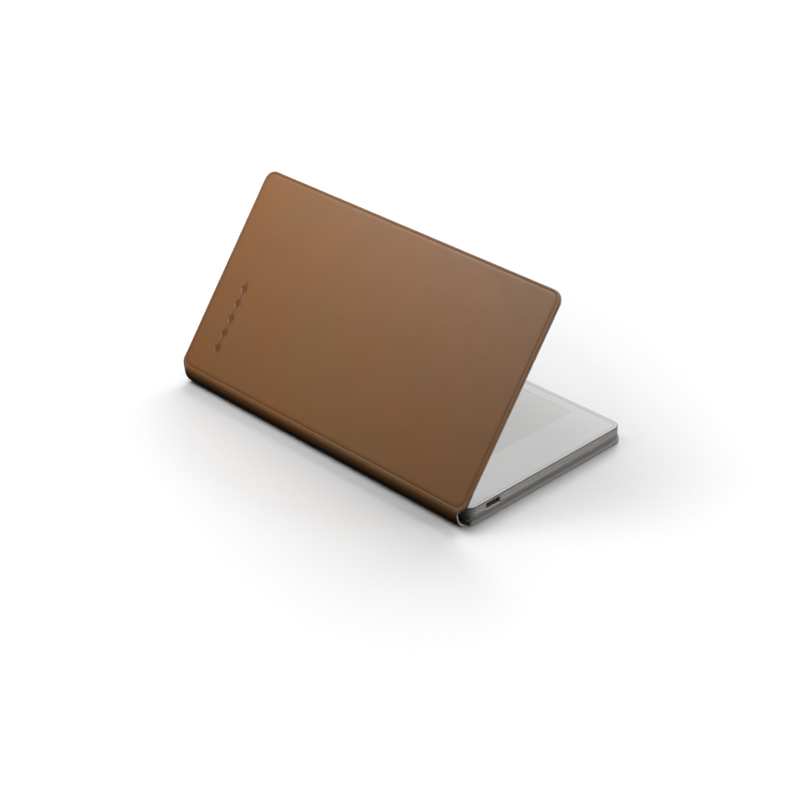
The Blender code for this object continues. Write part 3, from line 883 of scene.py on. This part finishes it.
def circuit_board_look():
    """Green solder mask over fine tracks, with pads in a loose grid."""
    look = Look("circuit_board_look")
    tracks = look.node("TexWave", {"bands_direction": "DIAGONAL"}, Vector=look.place)
    tracks.inputs["Scale"].default_value = 900.0
    tracks.inputs["Distortion"].default_value = 3.0
    tracks.inputs["Detail"].default_value = 1.0
    lines = look.remap(tracks.outputs["Fac"], 0.62, 0.72, 0.0, 1.0)
    area = look.remap(look.noise(0.006, 1.0), 0.48, 0.52, 0.0, 1.0)
    copper = look.math("MULTIPLY", lines, area)
    pad = look.remap(look.cells(0.0024), 0.16, 0.20, 1.0, 0.0)
    colour = look.mix(copper, (0.010, 0.075, 0.035), (0.030, 0.150, 0.070))
    colour = look.mix(pad, colour, (0.55, 0.50, 0.38))
    height = look.math("ADD", copper, pad)
    return look.set(
        Base_Color=colour,
        Metallic=look.math("MULTIPLY", pad, 0.8),
        Roughness=look.remap(pad, 0.0, 1.0, 0.38, 0.30),
        Normal=look.bump(height, 0.00003, 0.6),
    )


def flexible_circuit_look():
    """Amber polyimide film over parallel copper lines."""
    look = Look("flexible_circuit_look")
    wave = look.node("TexWave", {"bands_direction": "X"}, Vector=look.place)
    wave.inputs["Scale"].default_value = 420.0
    lines = look.remap(wave.outputs["Fac"], 0.45, 0.60, 0.0, 1.0)
    blotch = look.remap(look.noise(0.003, 4.0), 0.35, 0.65, 0.0, 0.4)
    colour = look.mix(lines, (0.36, 0.15, 0.03), (0.58, 0.30, 0.09))
    colour = look.mix(blotch, colour, (0.25, 0.10, 0.02))
    return look.set(
        Base_Color=colour,
        Metallic=look.math("MULTIPLY", lines, 0.4),
        Roughness=0.38,
        Normal=look.bump(lines, 0.00002, 0.5),
    )


def battery_foil_look():
    """Laminated pouch foil with an embossed weave and creases."""
    look = Look("battery_foil_look")
    crumple = look.noise(0.005, 5.0, 0.65)
    emboss = look.cells(0.0009)
    colour = look.mix(look.remap(crumple, 0.3, 0.7, 0.0, 1.0), (0.05, 0.05, 0.055), (0.14, 0.14, 0.15))
    normal = look.bump(crumple, 0.00015, 0.5)
    normal = look.bump(emboss, 0.00003, 0.4, normal)
    rough = look.remap(crumple, 0.3, 0.7, 0.30, 0.5)
    return look.set(Base_Color=colour, Metallic=0.5, Roughness=rough, Normal=normal)


def sheet_film_look(name, base, roughness, metallic=0.0, size=0.0015):
    """Thin optical or printed film with a fine dot pattern."""
    look = Look(name)
    dots = look.remap(look.cells(size), 0.18, 0.26, 1.0, 0.0)
    haze = look.noise(0.02, 3.0)
    dark = tuple(channel * 0.86 for channel in base)
    colour = look.mix(look.math("MULTIPLY", dots, 0.5), base, dark)
    colour = look.mix(look.remap(haze, 0.35, 0.65, 0.0, 0.3), colour, dark)
    return look.set(
        Base_Color=colour,
        Metallic=metallic,
        Roughness=look.remap(haze, 0.3, 0.7, roughness, roughness + 0.12),
        Normal=look.bump(dots, 0.00001, 0.5),
    )


# ---------------------------------------------------------------- colours and places

LEATHER_BROWN = (0.345, 0.156, 0.056)
# Painted light on the lining's ledges near its short ends, and painted shade inside the spine
LEDGE_LIT_GREY = (0.46, 0.445, 0.43)
LEDGE_START = (HALF_LENGTH - 1.5 * MM, HALF_LENGTH - 1.1 * MM)
LEDGE_END = (HALF_LENGTH - 0.4 * MM, HALF_LENGTH - 0.2 * MM)
FOLD_SHADE_REACH = (LOWER_HINGE.x + 1.6 * MM, LOWER_HINGE.x + 2.8 * MM)
FOLD_SHADE_GREY = (0.02, 0.019, 0.018)
# Cut edge of the lining: a lighter copy of the lining grey; the extra lightness is a painted highlight
# on its rounded edge
LINING_EDGE_HIGHLIGHT = (0.78, 0.76, 0.73)
LINING_GREY = (0.35, 0.336, 0.326)
GASKET_GREY = (0.12, 0.116, 0.112)
FRAME_GREY = (0.455, 0.43, 0.412)
# Painted shadow line round the page: its width and its strength on the short and long sides
PAGE_SHADOW_WIDTH = 0.00034
SHADOW_SHARES = (0.2, 0.75)
PAGE_GREY = (0.57, 0.566, 0.558)
PAGE_GREY_LIGHT = (0.61, 0.606, 0.598)
BORDER_GREY = (0.63, 0.628, 0.624)
BORDER_LIGHT = (0.657, 0.655, 0.65)
# Colour of the painted shadow line round the page
PAGE_SHADOW_LINE = (0.33, 0.33, 0.32)

PAGE_SIDE_MARGIN = 8.0 * MM
PAGE_FOOT_MARGIN = 25.7 * MM
PAGE_LENGTH = 163.2 * MM
PAGE_HALF_WIDTH = READER_HIGH.x - PAGE_SIDE_MARGIN
PAGE_HALF_LENGTH = PAGE_LENGTH / 2
PAGE_MIDDLE = READER_LOW.y + PAGE_FOOT_MARGIN + PAGE_HALF_LENGTH


# ---------------------------------------------------------------- folio pieces


def keep_rest_place(obj):
    """Stores where each point is at rest, so that patterns stay on a bending piece."""
    attribute = obj.data.attributes.new(REST_PLACE, "FLOAT_VECTOR", "POINT")
    for item, vert in zip(attribute.data, obj.data.vertices):
        item.vector = vert.co


def bend(obj):
    """Stores the piece's rest place and bakes its transform into its points."""
    keep_rest_place(obj)
    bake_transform(obj)


def make_folio():
    dyed = leather_look("folio_leather_look", LEATHER_BROWN)
    leather = (dyed, dyed)
    cloth = microfibre_look("folio_lining_look", LINING_GREY, True)
    # The cut edge look carries a painted highlight
    lining = (cloth, microfibre_look("lining_cut_look", LINING_EDGE_HIGHLIGHT))
    edged = (dyed, microfibre_look("painted_edge_look", LINING_GREY))
    full = PANEL_THICKNESS

    cover = make_sheet(
        "cover_leather_skin",
        upper_place,
        UPPER_WEB,
        leather,
        rim_rings(0.0, 1.0),
        tray_rings(COVER_RIM, LEATHER, WEB_LEATHER),
        cover_relief,
        (0.0, WEB_LEATHER, LEATHER_ROUNDING),
        dense=True,
    )
    bend(cover)
    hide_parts("front_cover_leather", "spine_leather")

    inside = make_sheet(
        "cover_lining_sheet",
        upper_place,
        UPPER_WEB,
        lining,
        tray_rings(COVER_RIM + SEAM, LINING_START, WEB_LEATHER + SEAM),
        flat_rings(full, WEB_TOTAL),
        flat_relief,
        (WEB_LEATHER + SEAM, WEB_TOTAL, LINING_ROUNDING),
    )
    bend(inside)
    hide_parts("front_cover_lining", "spine_lining")

    back = make_sheet(
        "back_leather_skin",
        lower_place,
        LOWER_WEB,
        edged,
        rim_rings(0.0, 0.8, BACK_TUCK),
        tray_rings(BACK_RIM, LEATHER, WEB_LEATHER),
        flat_relief,
        (0.0, WEB_LEATHER, BACK_ROUNDING),
        painted=True,
    )
    bend(back)
    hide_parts("back_cover_leather")

    base = make_sheet(
        "back_lining_sheet",
        lower_place,
        LOWER_WEB,
        lining,
        tray_rings(BACK_RIM + SEAM, LINING_START, WEB_LEATHER + SEAM),
        flat_rings(full, WEB_TOTAL),
        flat_relief,
        (WEB_LEATHER + SEAM, WEB_TOTAL, BACK_LINING_ROUNDING),
    )
    bend(base)
    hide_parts("back_cover_lining")


LEATHER_ROUNDING = 0.30 * MM
BACK_ROUNDING = 0.08 * MM
LINING_ROUNDING = 0.22 * MM
BACK_LINING_ROUNDING = 0.50 * MM


# ---------------------------------------------------------------- reader pieces

READER_CORNER = 5.3 * MM
LIP = 1.90 * MM
SEAT = 1.00 * MM
BEZEL_STEP = 0.46 * MM
BEZEL_BASE = READER_HIGH.z - 0.50 * MM
GLASS_GAP = 0.15 * MM
FRAME_WALL = 1.8 * MM
SHOULDER = 0.20 * MM
GROOVES = (
    # height, half width, depth
    (7.25 * MM, 0.24 * MM, 0.30 * MM),
    (5.80 * MM, 0.24 * MM, 0.30 * MM),
)
FRAME_CHAMFER = (0.30 * MM, 0.50 * MM)
REAR_INSET = 0.16 * MM
REAR_ROUNDING = 0.62 * MM
PLATE_TOP = 6.5 * MM
PLATE_UNDER = 5.95 * MM
OVERCUT = 1.0 * MM


def reader_low_high():
    return (READER_LOW.x, READER_LOW.y), (READER_HIGH.x, READER_HIGH.y)


def arc(centre, radius, start, stop, steps):
    """(inset, z) points along a circular arc; angles in degrees."""
    points = []
    for step in range(steps + 1):
        turn = math.radians(start + (stop - start) * step / steps)
        points.append((centre[0] + radius * math.cos(turn), centre[1] + radius * math.sin(turn)))
    return points


def groove(z, half, depth, steps=8):
    """(inset, z) points down a rounded groove in a vertical side."""
    ease = 0.25 * half
    points = [(0.0, z + half + ease), (depth * 0.1, z + half * 0.98)]
    for step in range(1, steps):
        turn = math.pi * step / steps
        points.append((depth * math.sin(turn), z + half * 0.95 * math.cos(turn)))
    points += [(depth * 0.1, z - half * 0.98), (0.0, z - half - ease)]
    return points


def frame_side():
    """The frame's outer side from its shoulder down to its chamfered bottom."""
    points = [(SEAT, BEZEL_BASE), (SHOULDER, BEZEL_BASE)]
    corner = (SHOULDER, BEZEL_BASE - SHOULDER)
    points += arc(corner, SHOULDER, 90, 180, 5)[1:]
    for z, half, depth in GROOVES:
        points += groove(z, half, depth)
    points += [
        (0.0, FRAME_LOW.z + FRAME_CHAMFER[1]),
        (0.05 * MM, FRAME_LOW.z + FRAME_CHAMFER[1] - 0.09 * MM),
        (FRAME_CHAMFER[0], FRAME_LOW.z + 0.08 * MM),
        (FRAME_CHAMFER[0], FRAME_LOW.z),
    ]
    return points


def make_bezel(glass_look):
    """The flat ring round the glass and the darker gasket outside it."""
    low, high = reader_low_high()
    top = READER_HIGH.z - 0.01 * MM
    seat = FRAME_HIGH.z + 0.01 * MM
    base = BEZEL_BASE + 0.01 * MM
    inner = SEAT + 0.02 * MM
    profile = [
        (LIP, seat),
        (LIP, top - 0.06 * MM),
        (LIP - 0.06 * MM, top),
        (BEZEL_STEP + 0.06 * MM, top),
        (BEZEL_STEP, top - 0.06 * MM),
        (BEZEL_STEP, base),
        (inner, base),
        (inner, seat),
    ]
    band("bezel_ring", low, high, READER_CORNER, profile, glass_look, "tablet", 20)
    wall = BEZEL_STEP - 0.02 * MM
    gasket_top = top - 0.03 * MM
    profile = [
        (wall, base),
        (wall, gasket_top),
        (0.20 * MM, gasket_top - 0.05 * MM),
        (0.10 * MM, gasket_top - 0.10 * MM),
        (0.05 * MM, gasket_top - 0.20 * MM),
        (0.05 * MM, base),
    ]
    rubber = moulded_look("gasket_look", GASKET_GREY, 0.62)
    band("gasket_ring", low, high, READER_CORNER, profile, rubber, "tablet", 20)


def block_cutter(low, high):
    bm = bmesh.new()
    bmesh.ops.create_cube(bm, size=1.0)
    for vert in bm.verts:
        for axis in range(3):
            share = vert.co[axis] + 0.5
            vert.co[axis] = low[axis] + (high[axis] - low[axis]) * share
    return helper(bm)


def disc_cutter(centre, radius, low_z, high_z, steps=32):
    bm = bmesh.new()
    bmesh.ops.create_cone(
        bm, cap_ends=True, segments=steps, radius1=radius, radius2=radius, depth=high_z - low_z
    )
    bmesh.ops.translate(bm, verts=bm.verts, vec=(centre[0], centre[1], (low_z + high_z) / 2))
    return helper(bm)


def helper(bm):
    mesh = bpy.data.meshes.new("helper")
    bm.to_mesh(mesh)
    bm.free()
    obj = bpy.data.objects.new("helper", mesh)
    bpy.context.scene.collection.objects.link(obj)
    return obj


def pill_cutter(centre, width, height, low_y, high_y, flare, mouth_y, radius=None):
    """A pill-shaped hole whose mouth is slightly countersunk."""
    direction = 1.0 if mouth_y > low_y + OVERCUT * 2 else -1.0
    outside = mouth_y + direction * OVERCUT
    profile = [
        (width + 2 * flare, height + 2 * flare, outside),
        (width + 2 * flare, height + 2 * flare, mouth_y),
        (width, height, mouth_y - direction * flare),
        (width, height, low_y if direction > 0 else high_y),
    ]
    bm = bmesh.new()
    loops = [pill_loop(bm, centre, w, h, y, 16, radius) for w, h, y in profile]
    for first, second in zip(loops, loops[1:]):
        bridge(bm, first, second)
    bm.faces.new(loops[0])
    bm.faces.new(list(reversed(loops[-1])))
    bmesh.ops.recalc_face_normals(bm, faces=bm.faces)
    return helper(bm)


PORT_CENTRE = ((PORT_LOW.x + PORT_HIGH.x) / 2, (PORT_LOW.z + PORT_HIGH.z) / 2)
PORT_SIZE = (PORT_HIGH.x - PORT_LOW.x + 0.06 * MM, PORT_HIGH.z - PORT_LOW.z + 0.06 * MM)
PORT_CORNER = 0.75 * MM
PORT_FLARE = 0.48 * MM
BUTTON_CENTRE = ((BUTTON_LOW.x + BUTTON_HIGH.x) / 2, (BUTTON_LOW.z + BUTTON_HIGH.z) / 2)
BUTTON_CAP = (9.0 * MM, 1.6 * MM)
BUTTON_GAP = 0.12 * MM


def make_frame(alloy):
    low, high = reader_low_high()
    side = frame_side()
    profile = [
        (FRAME_WALL, PLATE_TOP),
        (FRAME_WALL, FRAME_HIGH.z),
        (SEAT, FRAME_HIGH.z),
        *side,
        (FRAME_WALL, FRAME_LOW.z),
        (FRAME_WALL, PLATE_UNDER),
    ]
    frame_piece = slab("frame_band", low, high, READER_CORNER, profile, alloy, None, 20)
    port = pill_cutter(
        PORT_CENTRE,
        *PORT_SIZE,
        READER_LOW.y,
        PORT_HIGH.y + 0.1 * MM,
        PORT_FLARE,
        READER_LOW.y,
        PORT_CORNER,
    )
    cut_away(frame_piece, port)
    slot_size = (BUTTON_CAP[0] + 2 * BUTTON_GAP, BUTTON_CAP[1] + 2 * BUTTON_GAP)
    button = pill_cutter(
        BUTTON_CENTRE,
        *slot_size,
        READER_HIGH.y - FRAME_WALL - OVERCUT,
        READER_HIGH.y,
        0.08 * MM,
        READER_HIGH.y,
    )
    cut_away(frame_piece, button)
    cable_low, cable_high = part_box("display_cable")
    clear = 0.3 * MM
    cut_away(
        frame_piece,
        block_cutter(
            (cable_low.x - clear, cable_low.y - clear, PLATE_UNDER - OVERCUT / 2),
            (cable_high.x + clear, cable_high.y - 2.4 * MM, PLATE_TOP + OVERCUT / 2),
        ),
    )
    switch_low, switch_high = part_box("power_switch")
    inner_y = READER_HIGH.y - FRAME_WALL - 0.05 * MM
    cut_away(
        frame_piece,
        block_cutter(
            (BUTTON_CENTRE[0] - 7 * MM, switch_low.y - 2 * clear, PLATE_UNDER - OVERCUT / 2),
            (BUTTON_CENTRE[0] + 7 * MM, inner_y, PLATE_TOP + OVERCUT / 2),
        ),
    )
    for number in range(1, 5):
        screw_low, screw_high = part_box(f"board_screw_{number}")
        centre = ((screw_low.x + screw_high.x) / 2, (screw_low.y + screw_high.y) / 2)
        hole = disc_cutter(centre, 0.6 * MM, PLATE_UNDER - OVERCUT, screw_high.z + 0.2 * MM)
        cut_away(frame_piece, hole)
    frame_piece.data.set_sharp_from_angle(angle=math.radians(35))
    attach(frame_piece, "tablet")
    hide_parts("mid_frame")


def make_glass(look):
    low, high = reader_low_high()
    edge = LIP + GLASS_GAP
    top, under = READER_HIGH.z, READER_LOW.z
    profile = [
        (edge + 0.9 * MM, top),
        *arc((edge + 0.16 * MM, top - 0.16 * MM), 0.16 * MM, 90, 180, 5),
        (edge, under + 0.08 * MM),
        (edge + 0.08 * MM, under),
    ]
    glass = slab("cover_glass_pane", low, high, READER_CORNER, profile, look, "tablet", 20)
    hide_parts("cover_glass")


def make_rear_cover(plastic):
    low, high = reader_low_high()
    floor_z = REAR_LOW.z + 0.7 * MM
    radius = REAR_ROUNDING
    profile = [
        (FRAME_WALL, floor_z),
        (FRAME_WALL, REAR_HIGH.z),
        (REAR_INSET + 0.10 * MM, REAR_HIGH.z),
        (REAR_INSET, REAR_HIGH.z - 0.08 * MM),
        *arc((REAR_INSET + radius, REAR_LOW.z + radius), radius, 180, 270, 8),
        (3.0 * MM, REAR_LOW.z),
    ]
    rear = slab("rear_shell_tray", low, high, READER_CORNER, profile, plastic, None, 20)
    for number in range(1, 5):
        foot_low, foot_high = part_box(f"foot_{number}")
        centre = ((foot_low.x + foot_high.x) / 2, (foot_low.y + foot_high.y) / 2)
        radius = (foot_high.x - foot_low.x) / 2 + 0.2 * MM
        pocket_top = foot_high.z + 0.08 * MM
        cut_away(rear, disc_cutter(centre, radius, REAR_LOW.z - OVERCUT, pocket_top, 48))
    rear.data.set_sharp_from_angle(angle=math.radians(35))
    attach(rear, "tablet")
    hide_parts("rear_cover")


def turned(name, centre, profile, look, body, steps=48):
    """A turned solid; profile is (radius, z) from the bottom middle to the top middle."""
    bm = bmesh.new()
    loops = []
    for radius, z in profile:
        loop = []
        for step in range(steps):
            turn = 2 * math.pi * step / steps
            x = centre[0] + radius * math.cos(turn)
            y = centre[1] + radius * math.sin(turn)
            loop.append(bm.verts.new((x, y, z)))
        loops.append(loop)
    for first, second in zip(loops, loops[1:]):
        bridge(bm, first, second)
    bm.faces.new(loops[0])
    bm.faces.new(list(reversed(loops[-1])))
    return finish_mesh(name, bm, look, body)


def make_feet(rubber):
    for number in range(1, 5):
        low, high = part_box(f"foot_{number}")
        centre = ((low.x + high.x) / 2, (low.y + high.y) / 2)
        radius = (high.x - low.x) / 2
        profile = [
            (radius - 0.9 * MM, low.z + 0.03 * MM),
            (radius - 0.7 * MM, low.z),
            *[(r, z) for r, z in arc((radius - 0.14 * MM, low.z + 0.14 * MM), 0.14 * MM, -90, 0, 4)],
            (radius, high.z - 0.03 * MM),
            (radius - 0.03 * MM, high.z),
        ]
        foot = turned(f"rubber_foot_{number}", centre, profile, rubber, "tablet")
        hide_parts(f"foot_{number}")


def make_port(steel, resin):
    width, height = PORT_HIGH.x - PORT_LOW.x, PORT_HIGH.z - PORT_LOW.z
    wall = 0.2 * MM
    mouth, end = PORT_LOW.y + PORT_FLARE, PORT_HIGH.y
    flange = 2 * (PORT_FLARE - 0.12 * MM)
    hollow_w, hollow_h = width - 2 * wall, height - 2 * wall
    profile = [
        (width - 0.04 * MM, height - 0.04 * MM, end),
        (width, height, end - 0.04 * MM),
        (width, height, mouth + 0.04 * MM),
        (width + flange, height + flange, PORT_LOW.y + 0.09 * MM),
        (width + flange - 0.10 * MM, height + flange - 0.10 * MM, PORT_LOW.y + 0.05 * MM),
        (hollow_w + 0.10 * MM, hollow_h + 0.10 * MM, mouth),
        (hollow_w, hollow_h, mouth + 0.08 * MM),
        (hollow_w, hollow_h, end - wall),
    ]
    shell = pill_solid("port_shell", PORT_CENTRE, profile, steel, "tablet", PORT_CORNER)
    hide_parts("usb_shell")

    bm = bmesh.new()
    low, high = TONGUE_LOW, TONGUE_HIGH
    bmesh.ops.create_cube(bm, size=1.0)
    for vert in bm.verts:
        for axis in range(3):
            share = vert.co[axis] + 0.5
            vert.co[axis] = low[axis] + (high[axis] - low[axis]) * share
    bmesh.ops.bevel(bm, geom=list(bm.edges), offset=0.1 * MM, segments=3, profile=0.5, affect="EDGES")
    tongue = finish_mesh("port_tongue", bm, resin, "tablet")
    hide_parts("usb_tongue")

    gold = brushed_look("contact_gold_look", (0.78, 0.56, 0.24), 0.25)
    bm = bmesh.new()
    count = 12
    for k in range(count):
        x = low.x + (high.x - low.x) * (k + 0.5) / count
        for z in (low.z, high.z):
            strip = bmesh.ops.create_cube(bm, size=1.0)["verts"]
            for vert in strip:
                vert.co.x = x + vert.co.x * 0.26 * MM
                vert.co.y = low.y + 1.9 * MM + vert.co.y * 2.9 * MM
                vert.co.z = z + vert.co.z * 0.05 * MM
    contacts = finish_mesh("port_contacts", bm, gold, "tablet")


def make_button(alloy):
    face = BUTTON_HIGH.y
    flange_y = READER_HIGH.y - FRAME_WALL - BUTTON_GAP
    width, height = BUTTON_CAP
    flange_w = BUTTON_HIGH.x - BUTTON_LOW.x
    flange_h = BUTTON_HIGH.z - BUTTON_LOW.z
    profile = [
        (width - 0.9 * MM, height - 0.7 * MM, face - 0.03 * MM),
        (width - 0.5 * MM, height - 0.36 * MM, face),
        (width - 0.16 * MM, height - 0.16 * MM, face - 0.02 * MM),
        (width - 0.04 * MM, height - 0.04 * MM, face - 0.07 * MM),
        (width, height, face - 0.15 * MM),
        (width, height, flange_y),
        (flange_w, flange_h, flange_y),
        (flange_w, flange_h, BUTTON_LOW.y),
    ]
    button = pill_solid("power_button_cap", BUTTON_CENTRE, profile, alloy, "power_button")
    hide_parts("power_button")


def make_reader():
    alloy = satin_metal_look("anodised_frame_look", FRAME_GREY)
    plastic = moulded_look("rear_shell_look", (0.27, 0.26, 0.25))
    rubber = moulded_look("rubber_look", (0.035, 0.034, 0.033), 0.85, 0.00045, 0.00004)
    steel = brushed_look("port_steel_look", (0.72, 0.71, 0.69), 0.22)
    resin = moulded_look("epoxy_look", (0.018, 0.018, 0.02), 0.4, 0.0005, 0.00002)
    make_frame(alloy)
    etched = frosted_glass_look()
    make_bezel(etched)
    make_glass(etched)
    make_rear_cover(plastic)
    make_feet(rubber)
    make_port(steel, resin)
    make_button(alloy)
    return alloy, plastic, rubber, steel, resin


# ---------------------------------------------------------------- kept CAD nodes


def dress_kept_nodes(steel, resin):
    """Gives every CAD node that is still shown a full material."""
    greyboard = greyboard_look()
    flex = flexible_circuit_look()
    magnet = brushed_look("magnet_steel_look", (0.50, 0.50, 0.51), 0.32)
    tin = brushed_look("tinned_steel_look", (0.62, 0.61, 0.58), 0.35, (20.0, 1.0, 1.0))
    looks = {
        "front_light_guide": sheet_film_look("light_guide_look", (0.80, 0.82, 0.82), 0.18),
        "front_light_strip": flex,
        "e_paper_panel": sheet_film_look("e_paper_look", (0.60, 0.60, 0.58), 0.55, 0.0, 0.0008),
        "pen_sensor_sheet": sheet_film_look("pen_sensor_look", (0.50, 0.27, 0.15), 0.35, 0.6, 0.004),
        "battery": battery_foil_look(),
        "main_board": circuit_board_look(),
        "shield_can": tin,
        "processor": resin,
        "memory": resin,
        "hall_sensor": resin,
        "power_switch": resin,
        "display_cable": flex,
        "battery_cable": flex,
        "wifi_antenna": flex,
        "board_screw": steel,
        "magnet": magnet,
        "board": greyboard,
    }
    for name, node in frame["nodes"].items():
        if node.hide_render:
            continue
        look = next((looks[key] for key in looks if key in name), None)
        if name in ("back_cover_board", "front_cover_board"):
            look = greyboard
        for slot in node.material_slots:
            slot.material = look


# ---------------------------------------------------------------- stage

AIM = Vector((1.088, 1.688, 3.421)) * MM
AZIMUTH = math.radians(315.044)
ELEVATION = math.radians(30.047)
DISTANCE = 987.58 * MM
LENS_MM = 88.87
SENSOR_MM = 36.0

FLOOR_HALF = 6.0
FLOOR_WHITE = (0.90, 0.90, 0.90)
GLOW_REACH = (0.105, 0.40)
GLOW = 0.62
WORLD_STRENGTH = 0.05
LIGHTS = (
    # name, place, size, watts
    ("near_overhead", (-0.12, 0.12, 0.30), (0.20, 0.20), 0.49),
    ("overhead_left", (-0.20, 0.05, 0.45), (0.30, 0.30), 0.52),
    ("back_right", (0.7, 0.9, 0.9), (0.6, 0.6), 1.8),
    ("right_high", (0.9, 0.3, 1.0), (0.8, 0.8), 10.3),
    ("right_low", (1.0, -0.2, 0.7), (0.6, 0.6), 1.0),
    ("front_right", (0.5, -1.0, 0.25), (0.6, 0.6), 6.6),
)


def make_floor():
    look = Look("floor_look")
    speck = look.noise(0.004, 4.0)
    tint = tuple(channel * 0.99 for channel in FLOOR_WHITE)
    colour = look.mix(look.remap(speck, 0.3, 0.7, 0.0, 1.0), tint, FLOOR_WHITE)
    far = look.node("VectorMath", {"operation": "LENGTH"})
    look.feed(far.inputs[0], look.place)
    glow = look.remap(far.outputs["Value"], *GLOW_REACH, 0.0, GLOW)
    material = look.set(
        Base_Color=colour,
        Roughness=0.35,
        Specular_IOR_Level=0.3,
        Emission_Color=FLOOR_WHITE,
        Emission_Strength=glow,
    )
    bm = bmesh.new()
    bmesh.ops.create_grid(bm, x_segments=1, y_segments=1, size=FLOOR_HALF)
    bmesh.ops.translate(bm, verts=bm.verts, vec=(0.0, 0.0, -0.02 * MM))
    mesh = bpy.data.meshes.new("floor")
    bm.to_mesh(mesh)
    bm.free()
    mesh.materials.append(material)
    floor = bpy.data.objects.new("floor", mesh)
    bpy.context.scene.collection.objects.link(floor)
    floor.visible_diffuse = False
    floor.visible_glossy = False


def make_light(name, place, size, watts):
    data = bpy.data.lights.new(name, "AREA")
    data.shape = "RECTANGLE"
    data.size, data.size_y = size
    data.energy = watts
    light = bpy.data.objects.new(name, data)
    light.location = place
    light.visible_camera = False
    aim = AIM - Vector(place)
    light.rotation_euler = aim.to_track_quat("-Z", "Y").to_euler()
    bpy.context.scene.collection.objects.link(light)


def make_world():
    world = bpy.data.worlds.new("studio")
    world.use_nodes = True
    nodes, links = world.node_tree.nodes, world.node_tree.links
    background = nodes["Background"]
    background.inputs["Strength"].default_value = WORLD_STRENGTH
    place = nodes.new("ShaderNodeTexCoord")
    parts = nodes.new("ShaderNodeSeparateXYZ")
    fade = nodes.new("ShaderNodeMapRange")
    fade.inputs["From Min"].default_value = -0.02
    fade.inputs["From Max"].default_value = 0.10
    links.new(place.outputs["Generated"], parts.inputs["Vector"])
    links.new(parts.outputs["Z"], fade.inputs["Value"])
    links.new(fade.outputs["Result"], background.inputs["Color"])
    bpy.context.scene.world = world


def make_camera():
    data = bpy.data.cameras.new("camera")
    data.lens = LENS_MM
    data.sensor_width = SENSOR_MM
    data.clip_start = 0.01
    camera = bpy.data.objects.new("camera", data)
    back = Vector(
        (
            math.sin(AZIMUTH) * math.cos(ELEVATION),
            -math.cos(AZIMUTH) * math.cos(ELEVATION),
            math.sin(ELEVATION),
        )
    )
    camera.location = AIM + back * DISTANCE
    camera.rotation_euler = (-back).to_track_quat("-Z", "Y").to_euler()
    bpy.context.scene.collection.objects.link(camera)
    bpy.context.scene.camera = camera


make_folio()
alloy_look, plastic_look, rubber_look, steel_look, resin_look = make_reader()
dress_kept_nodes(steel_look, resin_look)
make_floor()
make_world()
for light in LIGHTS:
    make_light(*light)
make_camera()
bpy.context.scene.view_settings.view_transform = "Standard"

bpy.context.view_layer.update()
